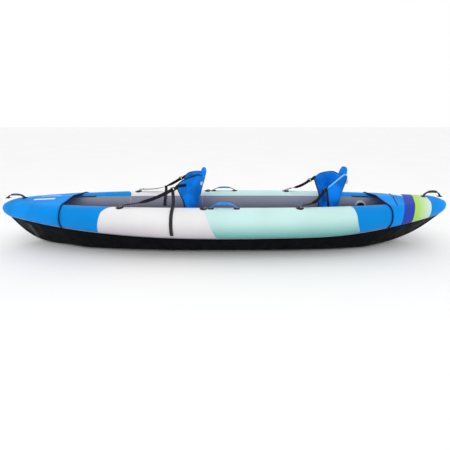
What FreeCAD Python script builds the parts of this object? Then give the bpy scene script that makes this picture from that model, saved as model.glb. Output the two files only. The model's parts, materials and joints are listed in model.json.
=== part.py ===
"""Two-seat inflatable kayak. +X is the stern, +Y is starboard, +Z is up, and the keel stands at Z = 0."""

import FreeCAD, Part
import Sketcher
import math
import os
from FreeCAD import Placement, Rotation, Vector

doc = FreeCAD.newDocument("inflatable_kayak")
sizes = doc.addObject("Spreadsheet::Sheet", "sizes")

# Driving dimensions, in millimetres unless the note says otherwise
DIMENSIONS = [
    ("half_length", 2060, "midship to either tip"),
    ("plan_length", 2100, "midship to where the two tube centre lines would meet"),
    ("plan_power", 2.77, "fullness of the tubes' line in plan, no unit"),
    ("half_spacing", 295, "midship to a tube's centre line, across"),
    ("tube_radius", 132, "air tube at midship"),
    ("tube_taper", 67, "how much thinner the tube is at the tip"),
    ("centre_height", 290, "tube centre above the keel at midship"),
    ("bow_rise", -17, "tube centre at the bow tip, on top of the taper"),
    ("stern_rise", 15, "tube centre at the stern tip, on top of the taper"),
    ("seam_angle", 56, "tape seam below the tube's equator, degrees"),
    ("keel_half_width", 160, "flat of the hull bottom"),
    ("chine_height", 20, "chine above the keel"),
    ("chine_inset", 20, "chine inside the tube's centre line"),
    ("bow_rocker_start", 1500, "where the keel starts to rise at the bow"),
    ("bow_rocker_rise", 290, "keel height that the bow would reach at its tip"),
    ("bow_rocker_power", 3.2, "no unit"),
    ("stern_rocker_start", 1050, "where the keel starts to rise at the stern"),
    ("stern_rocker_rise", 290, "keel height that the stern would reach at its tip"),
    ("stern_rocker_power", 3.6, "no unit"),
    ("floor_bottom", 50, "drop-stitch floor chamber"),
    ("floor_thickness", 115, "drop-stitch floor chamber"),
    ("floor_side_gap", 60, "floor edge inside the tube's centre line"),
    ("floor_half_length", 1480, "floor chamber"),
    ("deck_start", 1425, "cockpit edge of each spray deck, from midship"),
    ("deck_end", 2000, "tip edge of each spray deck, from midship"),
    ("deck_thickness", 4, "coated fabric with its lining"),
    ("deck_gap", 3, "deck above the tube"),
    ("ridge_rise", 22, "deck ridge above the tubes at the cockpit edge"),
    ("piping_radius", 6, "piped edge of a deck"),
    ("tape_thickness", 1.5, "seam tape"),
    ("tape_width", 14, "seam tape"),
    ("cushion_length", 380, "seat cushion"),
    ("cushion_width", 320, "seat cushion"),
    ("cushion_thickness", 60, "seat cushion"),
    ("front_back_width", 280, "backrest panel between its wings, front seat"),
    ("rear_back_width", 234, "backrest panel between its wings, rear seat, where the tubes are closer"),
    ("back_height", 400, "backrest panel"),
    ("back_thickness", 30, "backrest panel"),
    ("wing_thickness", 20, "backrest wing"),
    ("wing_reach", 172, "how far the wings come forward"),
    ("wing_flare", 18, "wing turned outwards, degrees"),
    ("tab_width", 90, "top tab of the backrest"),
    ("tab_height", 88, "top tab of the backrest"),
    ("front_back_lean", 13.5, "front backrest leans aft, degrees"),
    ("rear_back_lean", 10.5, "rear backrest leans aft, degrees"),
    ("front_hinge_x", -310, "backrest hinge line of the front seat"),
    ("rear_hinge_x", 976, "backrest hinge line of the rear seat"),
    ("hinge_height", 232, "backrest hinge lines above the keel"),
    ("webbing_width", 28, "seat strap"),
    ("webbing_thickness", 2, "seat strap"),
    ("handle_width", 25, "handle webbing"),
    ("handle_thickness", 3, "handle webbing"),
    ("handle_span", 208, "side handle between the ends of its webbing"),
    ("handle_height", 42, "side handle above the tube"),
    ("grip_radius", 11, "handle grip"),
    ("grip_length", 112, "side handle grip"),
    ("end_handle_span", 150, "bow and stern handles between the ends of their webbing"),
    ("end_grip_length", 78, "bow and stern handle grips"),
    ("bow_handle_height", 30, "bow handle above the deck"),
    ("stern_handle_height", 46, "stern handle above the deck"),
    ("bow_handle_x", -1935, "middle of the bow handle"),
    ("stern_handle_x", 1930, "middle of the stern handle"),
    ("patch_radius", 42, "ring patch"),
    ("patch_thickness", 2.5, "ring and handle patches"),
    ("ring_wire", 2.5, "radius of the wire of a strap ring"),
    ("ring_radius", 18, "bow of a strap ring"),
    ("ring_lift", 8.5, "ring pivot above the tube"),
    ("ring_tilt", 25, "rise of a hooked ring, degrees"),
    ("valve_skirt_radius", 50, "welded skirt of a valve"),
    ("valve_body_radius", 29, "valve housing"),
    ("valve_body_height", 15, "valve housing"),
    ("valve_bore_radius", 20, "valve housing"),
    ("valve_cap_radius", 35, "screw cap"),
    ("valve_cap_height", 16, "screw cap"),
    ("plunger_radius", 9, "spring plunger"),
    ("plunger_height", 8, "spring plunger"),
    ("valve_x", 1355, "tube valves from midship"),
    ("floor_valve_x", 1215, "floor valve from midship"),
]
for row, (alias, value, note) in enumerate(DIMENSIONS, 1):
    sizes.set(f"A{row}", note)
    sizes.set(f"B{row}", str(value))
    sizes.setAlias(f"B{row}", alias)
doc.recompute()

PORT, STARBOARD = -1, 1
SIDES = {"port": PORT, "starboard": STARBOARD}
nodes = {}


def size(alias):
    """A driving dimension's value."""
    return float(sizes.get(alias))


def bind(thing, **expressions):
    """Bind properties to expressions on the sheet; a double underscore stands for a dot."""
    for name, expression in expressions.items():
        thing.setExpression(name.replace("__", "."), expression)
    return thing


def keep(thing, label):
    """Name an object as one sub-part, to be written out as its own file."""
    thing.Label = label
    nodes[label] = thing
    return thing


def feature(label, shape):
    """A sub-part or a helper whose shape is worked out from the sheet's values."""
    thing = doc.addObject("Part::Feature", label)
    thing.Shape = shape
    return thing


def joined(kind, label, *things):
    """A boolean of two or more objects: Cut, Common, MultiFuse or Compound."""
    thing = doc.addObject(f"Part::{kind}", label)
    if kind in ("Cut", "Common"):
        thing.Base, thing.Tool = things
    elif kind == "Compound":
        thing.Links = list(things)
    else:
        thing.Shapes = list(things)
    return thing


# ---- Lines of the hull -------------------------------------------------------------------------

def half_spacing(x):
    """Tube centre line, across, at x."""
    return size("half_spacing") * (1 - abs(x / size("plan_length")) ** size("plan_power"))


def plan_angle(x):
    """Turn of the tube's centre line in plan at x, in degrees, as a port side slope."""
    step = 1.0
    slope = (half_spacing(x + step) - half_spacing(x - step)) / (2 * step)
    return math.degrees(math.atan(slope))


def tube_radius(x):
    """Tube radius at x, before the tips are rounded."""
    return size("tube_radius") - size("tube_taper") * (x / size("half_length")) ** 2


def centre_height(x):
    """Tube centre above the keel at x: the tubes' tops stay level as the tubes taper."""
    u = abs(x) / size("half_length")
    rise = size("stern_rise") if x > 0 else size("bow_rise")
    return size("centre_height") + size("tube_taper") * u ** 2 + rise * u ** 8


def tip_rounding(u):
    """Share of the tube's radius that is left as the tip rounds off."""
    start = 0.94
    if abs(u) <= start:
        return 1.0
    return math.sqrt(1 - 0.8 * ((abs(u) - start) / (1 - start)) ** 2)


def keel_height(x):
    """Keel above the flat of the bottom at x."""
    end = "stern" if x > 0 else "bow"
    start = size(f"{end}_rocker_start")
    if abs(x) <= start:
        return 0.0
    run = (abs(x) - start) / (size("half_length") - start)
    return size(f"{end}_rocker_rise") * run ** size(f"{end}_rocker_power")


def tube_top(x):
    """Height of a tube's top at x."""
    return centre_height(x) + tube_radius(x)


def on_tube(x, side, angle, lift=0.0):
    """A point on a tube's surface: angle is measured outwards from the top, in degrees."""
    reach = tube_radius(x) * tip_rounding(x / size("half_length")) + lift
    turn = math.radians(angle)
    y = side * (half_spacing(x) + reach * math.sin(turn))
    return Vector(x, y, centre_height(x) + reach * math.cos(turn))


# ---- Air tubes -----------------------------------------------------------------------------------

TUBE_STATIONS = [-1, -0.985, -0.97, -0.94, -0.88, -0.8, -0.69, -0.54, -0.3, 0]
TUBE_STATIONS += [-u for u in TUBE_STATIONS[-2::-1]]


def air_tube(name, side):
    """A tapering round tube through circles square to X, cut off at the middle plane."""
    circles = []
    for number, u in enumerate(TUBE_STATIONS):
        rise = "stern_rise" if u > 0 else "bow_rise"
        share = f"{tip_rounding(u):.5f}"
        circle = doc.addObject("Part::Circle", f"{name}_circle_{number}")
        circle.Placement = Placement(Vector(), Rotation(Vector(0, 1, 0), 90))
        bind(
            circle,
            Radius=f"(sizes.tube_radius - sizes.tube_taper * {u * u}) * {share}",
            Placement__Base__x=f"sizes.half_length * {u}",
            Placement__Base__y=f"{side} * sizes.half_spacing * (1 - "
            f"(sizes.half_length / sizes.plan_length * {abs(u)}) ^ sizes.plan_power)",
            Placement__Base__z=f"sizes.centre_height + sizes.tube_taper * {u * u}"
            f" + sizes.{rise} * {u ** 8:.6f}",
        )
        circles.append(circle)
    loft = doc.addObject("Part::Loft", f"{name}_loft")
    loft.Sections = circles
    loft.Solid = True
    half = doc.addObject("Part::Box", f"{name}_half")
    bind(
        half,
        Length="sizes.half_length * 2.2",
        Width="sizes.half_spacing * 2",
        Height="sizes.half_length",
        Placement__Base__x="-sizes.half_length * 1.1",
        Placement__Base__y="0" if side == STARBOARD else "-sizes.half_spacing * 2",
    )
    return keep(joined("Common", name, loft, half), name)


tubes = {side: air_tube(f"{name}_air_tube", side) for name, side in SIDES.items()}
doc.recompute()
both_tubes = joined("Compound", "both_tubes", tubes[PORT], tubes[STARBOARD])


# ---- Hull bottom and floor chamber -----------------------------------------------------------------

def section(x, half_outline):
    """A closed wire square to X, mirrored in the middle plane from its starboard points (y, z)."""
    points = [Vector(x, y, z) for y, z in half_outline]
    points += [Vector(x, -y, z) for y, z in reversed(half_outline)]
    return Part.makePolygon(points + points[:1])


def ruled(sections):
    """A solid through closed wires, with straight rulings between them."""
    return Part.makeLoft(sections, True, True)


def hull_outline(x):
    """Keel flat, chine and seam of the hull at x, as starboard points from the keel out."""
    u = abs(x) / size("half_length")
    narrow = max(0.0, (u - 0.62) / 0.38)
    reach = tube_radius(x) * tip_rounding(u) + 1.0
    turn = math.radians(size("seam_angle"))
    seam_y = half_spacing(x) + reach * math.cos(turn)
    seam_z = centre_height(x) - reach * math.sin(turn)
    keel_z = keel_height(x)
    chine_y = (half_spacing(x) - size("chine_inset")) * (1 - 0.35 * narrow)
    chine_y = max(chine_y, 12.0)
    chine_z = keel_z + size("chine_height") + (seam_z - keel_z) * 0.25 * narrow
    flat_y = min(size("keel_half_width") * (1 - narrow) + 5.0, chine_y * 0.7)
    return [(flat_y, keel_z), (chine_y, chine_z), (seam_y, seam_z)]


HULL_STATIONS = [-0.985, -0.965, -0.945, -0.92, -0.89, -0.85, -0.8, -0.73, -0.65, -0.5, -0.3, 0]
HULL_STATIONS += [-u for u in HULL_STATIONS[-2::-1]]
hull_xs = [u * size("half_length") for u in HULL_STATIONS]
hull_block = feature("hull_block", ruled([section(x, hull_outline(x)) for x in hull_xs]))


def floor_block(name, height):
    """The floor chamber's plan, drawn up to a height above its bottom."""
    length = size("floor_half_length")
    xs = [length * u for u in (-1, -0.9, -0.75, -0.5, -0.25, 0, 0.25, 0.5, 0.75, 0.9, 1)]
    low = size("floor_bottom")
    wires = []
    for x in xs:
        half_width = half_spacing(x) - size("floor_side_gap") - 30 * (abs(x) / length) ** 8
        wires.append(section(x, [(half_width, low), (half_width, low + height)]))
    return feature(name, ruled(wires))


floor_chamber = keep(floor_block("floor_chamber", size("floor_thickness")), "floor_chamber")
cockpit_cut = floor_block("cockpit_cut", size("centre_height"))
hull_without_tubes = joined("Cut", "hull_without_tubes", hull_block, both_tubes)
hull_bottom = keep(joined("Cut", "hull_bottom", hull_without_tubes, cockpit_cut), "hull_bottom")


def band(x_from, x_to, steps, side, angle, width, thickness, lift):
    """A thin tape along a tube's surface, at an angle outwards from its top."""
    wires = []
    for k in range(steps + 1):
        x = x_from + (x_to - x_from) * k / steps
        reach = tube_radius(x) * tip_rounding(x / size("half_length"))
        spread = math.degrees(width / 2 / reach)
        corners = [
            on_tube(x, side, angle - spread, lift),
            on_tube(x, side, angle + spread, lift),
            on_tube(x, side, angle + spread, lift + thickness),
            on_tube(x, side, angle - spread, lift + thickness),
        ]
        wires.append(Part.makePolygon(corners + corners[:1]))
    return ruled(wires)


for name, side in SIDES.items():
    tape = band(
        -0.94 * size("half_length"), 0.94 * size("half_length"), 34, side,
        90 + size("seam_angle") - 6, size("tape_width"), size("tape_thickness"), 2.4,
    )
    keep(feature(f"{name}_seam_tape", tape), f"{name}_seam_tape")


# ---- Spray decks, their piping and the hook-and-loop strips -----------------------------------------

DECK_ANGLES = [56, 38, 19, 0, -16]


def ridge_height(x):
    """Deck ridge at x: highest at the cockpit edge, level with the tubes at the tip edge."""
    run = (abs(x) - size("deck_start")) / (size("deck_end") - size("deck_start"))
    return tube_top(x) + size("deck_gap") + size("ridge_rise") * (1 - run)


def deck_outline(x, lift):
    """The deck's line over one tube and up to the ridge at x, from the outside in."""
    points = [on_tube(x, STARBOARD, angle, size("deck_gap") + lift) for angle in DECK_ANGLES]
    line = [(p.y, p.z) for p in points if p.y > 6.0]
    while len(line) < len(DECK_ANGLES):
        line.append((line[-1][0] - 1.5, line[-1][1]))
    return line + [(1.0, ridge_height(x) + lift)]


def deck(name, end):
    """A shell over both tubes, from the cockpit edge to the tip edge."""
    wires = []
    steps = 9
    for k in range(steps + 1):
        x = end * (size("deck_start") + (size("deck_end") - size("deck_start")) * k / steps)
        inner = deck_outline(x, 0.0)
        outer = deck_outline(x, size("deck_thickness"))
        line = [Vector(x, y, z) for y, z in outer] + [Vector(x, -y, z) for y, z in reversed(outer)]
        back = [Vector(x, -y, z) for y, z in inner] + [Vector(x, y, z) for y, z in reversed(inner)]
        points = line + back
        wires.append(Part.makePolygon(points + points[:1]))
    return keep(feature(name, ruled(wires)), name)


def piping(name, end):
    """The round piped edge along a deck's cockpit edge, as straight runs joined end to end."""
    x = end * (size("deck_start") - size("piping_radius") - 1.0)
    line = deck_outline(x, size("piping_radius") - 0.5)
    points = [Vector(x, y, z) for y, z in line] + [Vector(x, -y, z) for y, z in reversed(line)]
    radius = size("piping_radius")
    rods = []
    for start, stop in zip(points, points[1:]):
        rods.append(Part.makeCylinder(radius, (stop - start).Length, start, stop - start))
        rods.append(Part.makeSphere(radius, stop))
    return keep(feature(name, rods[0].multiFuse(rods[1:-1])), name)


for end_name, end in (("bow", -1), ("stern", 1)):
    deck(f"{end_name}_spray_deck", end)
    piping(f"{end_name}_deck_piping", end)

strips = []
for side in SIDES.values():
    for end in (-1, 1):
        strip = band(end * 1262, end * 1412, 4, side, -38, 13.0, 2.0, 2.0)
        strips.append(feature(f"strip_{len(strips)}", strip))
keep(joined("Compound", "fastening_strips", *strips), "fastening_strips")


# ---- Seats --------------------------------------------------------------------------------------------

def role(body, plane):
    """One of a body's own origin planes."""
    return next(f for f in body.Origin.OriginFeatures if f.Role == plane)


def outline(body, plane, corners):
    """A closed sketch of straight edges; each corner is dimensioned from the origin."""
    sketch = body.newObject("Sketcher::SketchObject", f"{body.Name}_outline")
    sketch.AttachmentSupport = (role(body, plane), [""])
    sketch.MapMode = "FlatFace"
    values = [[float(sizes.evalExpression(e)) for e in corner] for corner in corners]
    places = [Vector(x, y, 0) for x, y in values]
    for k, place in enumerate(places):
        sketch.addGeometry(Part.LineSegment(place, places[(k + 1) % len(places)]), False)
    for k in range(len(places)):
        sketch.addConstraint(Sketcher.Constraint("Coincident", k, 2, (k + 1) % len(places), 1))
    for k, corner in enumerate(corners):
        for axis, expression, value in zip("XY", corner, values[k]):
            number = sketch.addConstraint(
                Sketcher.Constraint(f"Distance{axis}", -1, 1, k, 1, value)
            )
            sketch.setExpression(f"Constraints[{number}]", expression)
    return sketch


def padded(name, plane, corners, thickness, middle=False):
    """A body padded from an outline of straight edges."""
    body = doc.addObject("PartDesign::Body", name)
    pad = body.newObject("PartDesign::Pad", f"{name}_pad")
    pad.Profile = outline(body, plane, corners)
    pad.Midplane = middle
    pad.setExpression("Length", thickness)
    return body


def turned(name, corners):
    """A body turned about its own Z from an outline in the XZ plane."""
    body = doc.addObject("PartDesign::Body", name)
    turn = body.newObject("PartDesign::Revolution", f"{name}_turn")
    turn.Profile = outline(body, "XZ_Plane", corners)
    turn.ReferenceAxis = (turn.Profile[0], ["V_Axis"])
    turn.Angle = 360
    return body


def rounded(body, radius, pick):
    """Fillet the edges of a body's tip that pick accepts."""
    doc.recompute()
    base = body.Tip
    names = [f"Edge{k + 1}" for k, edge in enumerate(base.Shape.Edges) if pick(edge)]
    fillet = body.newObject("PartDesign::Fillet", f"{body.Name}_fillet")
    fillet.Base = (base, names)
    fillet.Radius = radius
    body.Tip = fillet
    return body


def upright(edge):
    """Whether an edge runs along Z."""
    return edge.tangentAt(edge.FirstParameter).cross(Vector(0, 0, 1)).Length < 1e-6


def seat(name, hinge):
    """A cushion on the floor and a winged backrest hinged at the cushion's rear edge."""
    width = f"sizes.{name}_back_width"
    half, length = "sizes.cushion_width / 2", "sizes.cushion_length"
    cushion = padded(
        f"{name}_seat_cushion",
        "XY_Plane",
        [("0", f"-{half}"), (length, f"-{half}"), (length, half), ("0", half)],
        "sizes.cushion_thickness",
    )
    rounded(cushion, 45, upright)
    bind(
        cushion,
        Placement__Base__x=f"sizes.{hinge} - sizes.cushion_length - 22",
        Placement__Base__z="sizes.floor_bottom + sizes.floor_thickness + 0.5",
    )
    keep(cushion, f"{name}_seat_cushion")

    panel = padded(
        f"{name}_back_panel",
        "YZ_Plane",
        [
            (f"20 - {width} / 2", "14"),
            (f"{width} / 2 - 20", "14"),
            (f"{width} / 2", "70"),
            (f"{width} / 2 + 22", "sizes.back_height * 0.8"),
            ("sizes.tab_width / 2 + 8", "sizes.back_height + 12"),
            ("sizes.tab_width / 2", "sizes.back_height + sizes.tab_height - 20"),
            ("sizes.tab_width / 2 - 22", "sizes.back_height + sizes.tab_height"),
            ("22 - sizes.tab_width / 2", "sizes.back_height + sizes.tab_height"),
            ("-sizes.tab_width / 2", "sizes.back_height + sizes.tab_height - 20"),
            ("-sizes.tab_width / 2 - 8", "sizes.back_height + 12"),
            (f"-{width} / 2 - 22", "sizes.back_height * 0.8"),
            (f"-{width} / 2", "70"),
        ],
        "sizes.back_thickness",
    )
    wings = []
    for side_name, side in SIDES.items():
        wing = padded(
            f"{name}_{side_name}_wing",
            "XZ_Plane",
            [
                ("8", "20"),
                ("-26", "30"),
                ("-sizes.wing_reach * 0.38", "195"),
                ("-sizes.wing_reach", "322"),
                ("-sizes.wing_reach * 0.72", "392"),
                ("8", "440"),
            ],
            "sizes.wing_thickness",
            True,
        )
        wing.Placement = Placement(
            Vector(8, side * (size(f"{name}_back_width") / 2 - 4), 0),
            Rotation(Vector(0, 0, 1), -side * size("wing_flare")),
        )
        wings.append(wing)
    trim = doc.addObject("Part::Box", f"{name}_wing_trim")
    bind(
        trim,
        Length="sizes.wing_reach + 60",
        Width="sizes.front_back_width * 2",
        Height="sizes.back_height * 2",
        Placement__Base__x="sizes.back_thickness - sizes.wing_reach - 60",
        Placement__Base__y="-sizes.front_back_width",
    )
    both = joined("MultiFuse", f"{name}_wings_and_panel", panel, *wings)
    back = joined("Common", f"{name}_backrest", both, trim)
    place = Vector(size(hinge), 0, size("hinge_height"))
    back.Placement = Placement(place, Rotation(Vector(0, 1, 0), size(f"{name}_back_lean")))
    return keep(back, f"{name}_backrest")


seat("front", "front_hinge_x")
seat("rear", "rear_hinge_x")


def wing_tip(seat_name, side, along=0.86, up=344, out=28):
    """A point just off a wing's outer face, by its front tip, in the kayak's frame."""
    flare = math.radians(size("wing_flare"))
    reach = along * size("wing_reach")
    local = Vector(
        8 - reach * math.cos(flare),
        side * (size(f"{seat_name}_back_width") / 2 - 4 + reach * math.sin(flare) + out),
        up,
    )
    lean = Rotation(Vector(0, 1, 0), size(f"{seat_name}_back_lean"))
    return lean.multVec(local) + Vector(size(f"{seat_name}_hinge_x"), 0, size("hinge_height"))


# ---- Ring patches, rings and snap hooks -----------------------------------------------------------------

STRAP_RING_X = {"front": -875, "rear": 635}
FREE_RING_X = -168


def ring_pivot(x, side):
    """Middle of a ring's straight bar."""
    return Vector(x, side * half_spacing(x), tube_top(x) + size("ring_lift"))


def ring_patch(x, side):
    """A round patch laid over the tube, with the folded webbing keeper of its ring."""
    top = tube_top(x)
    y = side * half_spacing(x)
    label = f"patch_{'port' if side < 0 else 'starboard'}_{abs(x)}"
    disc = Part.makeCylinder(size("patch_radius"), 60, Vector(x, y, top - 40))
    shell_radius = tube_radius(x) + size("patch_thickness") + 1.5
    shell = Part.makeCylinder(
        shell_radius, 200, Vector(x - 100, y, centre_height(x)), Vector(1, 0, 0)
    )
    pivot = ring_pivot(x, side)
    fold = Part.makeBox(16, 20, size("ring_lift") + 5.5, Vector(x - 8, y - 10, top - 1))
    bar = Part.makeCylinder(size("ring_wire") + 0.4, 40, pivot - Vector(0, 20, 0), Vector(0, 1, 0))
    blank = feature(f"{label}_blank", disc.common(shell).fuse(fold).cut(bar))
    return joined("Cut", label, blank, tubes[side])


def strap_ring(name, x, side, tilt):
    """A welded wire ring: a straight bar and a half-round bow, tipped up from lying forward."""
    bow = doc.addObject("Part::Torus", f"{name}_bow")
    bind(bow, Radius1="sizes.ring_radius", Radius2="sizes.ring_wire")
    bow.Angle3 = 180
    bow.Placement = Placement(Vector(), Rotation(Vector(0, 0, 1), -90))
    bar = doc.addObject("Part::Cylinder", f"{name}_bar")
    bind(bar, Radius="sizes.ring_wire", Height="2 * sizes.ring_radius")
    bar.Placement = Placement(
        Vector(0, size("ring_radius"), 0), Rotation(Vector(1, 0, 0), 90)
    )
    corners = []
    for end in (-1, 1):
        corner = doc.addObject("Part::Sphere", f"{name}_corner_{end + 1}")
        bind(corner, Radius="sizes.ring_wire", Placement__Base__y=f"{end} * sizes.ring_radius")
        corners.append(corner)
    ring = joined("MultiFuse", name, bow, bar, *corners)
    ring.Placement = Placement(ring_pivot(x, side), Rotation(Vector(0, 1, 0), -tilt))
    return ring


patches = []
for side in SIDES.values():
    for x in (STRAP_RING_X["front"], FREE_RING_X, STRAP_RING_X["rear"]):
        patches.append(ring_patch(x, side))
keep(joined("Compound", "ring_patches", *patches), "ring_patches")

hooked = [
    strap_ring(f"{seat_name}_{side_name}_hooked_ring", x, side, size("ring_tilt"))
    for seat_name, x in STRAP_RING_X.items()
    for side_name, side in SIDES.items()
]
keep(joined("Compound", "strap_rings", *hooked), "strap_rings")
for side_name, side in SIDES.items():
    ring = strap_ring(f"{side_name}_free_ring", FREE_RING_X, side, 0)
    keep(ring, f"{side_name}_free_ring")

HOOK_EYE_RADIUS = 8.5
HOOK_WIRE = 2.4
HOOK_REACH = 34.0


def strap_line(seat_name, side):
    """Where a seat strap starts at its hook, where it ends at the wing, and its direction."""
    pivot = ring_pivot(STRAP_RING_X[seat_name], side)
    tilt = math.radians(size("ring_tilt"))
    bow_of_ring = pivot + Vector(math.cos(tilt), 0, math.sin(tilt)) * size("ring_radius")
    tip = wing_tip(seat_name, side)
    direction = (tip - bow_of_ring).normalize()
    return bow_of_ring, tip, direction


def flat_frame(direction):
    """A rotation with local X along a direction and local Y level."""
    level = Vector(0, 0, 1).cross(direction).normalize()
    return Rotation(direction, level, direction.cross(level), "XYZ")


def snap_hook(name, seat_name, side):
    """An eye round the ring's bow, a shank and the bar that the strap is sewn round."""
    bow_of_ring, tip, direction = strap_line(seat_name, side)
    eye = Part.makeTorus(HOOK_EYE_RADIUS, HOOK_WIRE, Vector(), Vector(0, 1, 0))
    shank = Part.makeCylinder(3.2, 14, Vector(HOOK_EYE_RADIUS, 0, 0), Vector(1, 0, 0))
    bar = Part.makeBox(9, size("webbing_width") + 6, 6, Vector(21, -size("webbing_width") / 2 - 3, -3))
    hook = feature(name, eye.fuse([shank, bar]))
    hook.Placement = Placement(bow_of_ring + direction * 2.5, flat_frame(direction))
    return hook


hooks = [
    snap_hook(f"{seat_name}_{side_name}_hook", seat_name, side)
    for seat_name in STRAP_RING_X
    for side_name, side in SIDES.items()
]
keep(joined("Compound", "snap_hooks", *hooks), "snap_hooks")


# ---- Seat straps, their buckles and tails -------------------------------------------------------------------

BUCKLE_LENGTH = 34.0
BUCKLE_THICKNESS = 6.0
BUCKLE_BACK = 72.0


def strap(seat_name, side_name, side):
    """A flat webbing strap, pulled straight from its hook to the buckle before the wing."""
    bow_of_ring, tip, direction = strap_line(seat_name, side)
    run = (tip - bow_of_ring).Length - HOOK_REACH - BUCKLE_BACK - BUCKLE_LENGTH / 2 - 1.0
    web = doc.addObject("Part::Box", f"{seat_name}_{side_name}_strap")
    bind(web, Width="sizes.webbing_width", Height="sizes.webbing_thickness")
    web.Length = run
    frame = flat_frame(direction)
    corner = Vector(HOOK_REACH, -size("webbing_width") / 2, -size("webbing_thickness") / 2)
    web.Placement = Placement(bow_of_ring + frame.multVec(corner), frame)
    return keep(web, f"{seat_name}_{side_name}_strap")


def buckle(seat_name, side):
    """A ladder-lock buckle with two slots, and the short webbing sewn to the wing behind it."""
    bow_of_ring, tip, direction = strap_line(seat_name, side)
    wide = size("webbing_width") + 8
    block = Part.makeBox(BUCKLE_LENGTH, wide, BUCKLE_THICKNESS, Vector(-BUCKLE_LENGTH / 2, -wide / 2, -3))
    slot_width = size("webbing_width") + 1
    for start in (-11.5, 4.5):
        slot = Part.makeBox(7, slot_width, 12, Vector(start, -slot_width / 2, -6))
        block = block.cut(slot)
    sewn = Part.makeBox(
        BUCKLE_BACK - 14, size("webbing_width"), 3, Vector(BUCKLE_LENGTH / 2 - 5, -size("webbing_width") / 2, -1.5)
    )
    piece = feature(f"{seat_name}_buckle_{side + 1}", block.fuse(sewn))
    piece.Placement = Placement(tip - direction * BUCKLE_BACK, flat_frame(direction))
    return piece


for seat_name in STRAP_RING_X:
    for side_name, side in SIDES.items():
        strap(seat_name, side_name, side)
    pair = [buckle(seat_name, side) for side in SIDES.values()]
    keep(joined("Compound", f"{seat_name}_buckles", *pair), f"{seat_name}_buckles")


def strap_tail(name, side, along, first, last):
    """A strap's loose end: down from the strap and round the tube from one angle to another."""
    bow_of_ring, tip, direction = strap_line("front", side)
    top = bow_of_ring + direction * ((tip - bow_of_ring).Length * along)
    x = top.x
    reach = tube_radius(x) + 2.0
    thick = size("webbing_thickness")
    y, z = side * half_spacing(x), centre_height(x)
    angles = [math.radians(a) for a in (first, (first + last) / 2, last)]

    def point(radius, angle):
        return Vector(0, y + side * radius * math.sin(angle), z + radius * math.cos(angle))

    inner = Part.Arc(*[point(reach, a) for a in angles]).toShape()
    outer = Part.Arc(*[point(reach + thick, a) for a in angles]).toShape()
    ends = Part.makeLine(point(reach, angles[2]), point(reach + thick, angles[2]))
    hang = Vector(0, top.y, top.z - 10)
    level = Vector(0, thick if last > first else -thick, 0) * -side
    lead = Part.makePolygon([point(reach + thick, angles[0]), hang, hang + level, point(reach, angles[0])])
    wire = Part.Wire(Part.__sortEdges__([inner, outer, ends] + lead.Edges))
    web = Part.Face(wire).extrude(Vector(size("webbing_width"), 0, 0))
    web.translate(Vector(x - size("webbing_width") / 2, 0, 0))
    return keep(feature(name, web), name)


strap_tail("front_port_strap_tail", PORT, 0.85, -8, 122)
strap_tail("front_starboard_strap_tail", STARBOARD, 0.55, -28, -86)


# ---- Handles -------------------------------------------------------------------------------------------------

def handle(name, start, stop, span, height, grip_length, across=0.0):
    """A webbing arch over two feet, with a grip sleeve on its level top."""
    deep = "sizes.handle_thickness"
    arch = padded(
        f"{name}_webbing",
        "XZ_Plane",
        [
            (f"-{span} / 2", "0"),
            (f"-{span} / 2 + 4", "0"),
            (f"-{grip_length} / 2 - 4 + {deep}", f"{height} - {deep}"),
            (f"{grip_length} / 2 + 4 - {deep}", f"{height} - {deep}"),
            (f"{span} / 2 - 4", "0"),
            (f"{span} / 2", "0"),
            (f"{grip_length} / 2 + 5", height),
            (f"-{grip_length} / 2 - 5", height),
        ],
        "sizes.handle_width",
        True,
    )
    rod = doc.addObject("Part::Cylinder", f"{name}_grip_rod")
    bind(rod, Radius="sizes.grip_radius", Height=grip_length)
    rod.Placement = Placement(Vector(), Rotation(Vector(0, 1, 0), 90))
    bind(
        rod,
        Placement__Base__x=f"-{grip_length} / 2",
        Placement__Base__z=f"{height} - {deep} / 2",
    )
    slot = doc.addObject("Part::Box", f"{name}_grip_slot")
    bind(slot, Length=f"{grip_length} + 40", Width="sizes.handle_width + 0.4", Height=f"{deep} + 0.4")
    bind(
        slot,
        Placement__Base__x=f"-{grip_length} / 2 - 20",
        Placement__Base__y="-sizes.handle_width / 2 - 0.2",
        Placement__Base__z=f"{height} - {deep} - 0.2",
    )
    flat = doc.addObject("Part::Box", f"{name}_grip_core")
    bind(flat, Length=grip_length, Width="sizes.handle_width + 5", Height=f"{deep} + 5")
    bind(
        flat,
        Placement__Base__x=f"-{grip_length} / 2",
        Placement__Base__y="-sizes.handle_width / 2 - 2.5",
        Placement__Base__z=f"{height} - {deep} - 2.5",
    )
    sleeve = joined("MultiFuse", f"{name}_grip_blank", rod, flat)
    grip = joined("Cut", f"{name}_grip", sleeve, slot)
    middle = (start + stop) * 0.5
    run = stop - start
    turn = Rotation(Vector(1, 0, 0), run)
    arch.Placement = Placement(middle, turn)
    grip.Placement = Placement(middle, turn)
    keep(arch, f"{name}_webbing")
    keep(grip, f"{name}_grip")


FOOT_LIFT = 5.5
HANDLE_FEET = []
for side_name, side in SIDES.items():
    reach = size("handle_span") / 2
    feet = [on_tube(x, side, 0, FOOT_LIFT) for x in (-reach + 15, reach + 15)]
    handle(f"{side_name}_handle", *feet, "sizes.handle_span", "sizes.handle_height", "sizes.grip_length")
    HANDLE_FEET += feet
for end_name in ("bow", "stern"):
    middle = size(f"{end_name}_handle_x")
    reach = size("end_handle_span") / 2
    x_in = min(abs(middle - reach), abs(middle + reach)) * math.copysign(1, middle)
    high = max(ridge_height(x_in), tube_top(x_in)) + size("deck_thickness") + FOOT_LIFT
    feet = [Vector(middle - reach, 0, high), Vector(middle + reach, 0, high)]
    rise = f"sizes.{end_name}_handle_height"
    handle(f"{end_name}_handle", *feet, "sizes.end_handle_span", rise, "sizes.end_grip_length")
    HANDLE_FEET += feet


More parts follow.
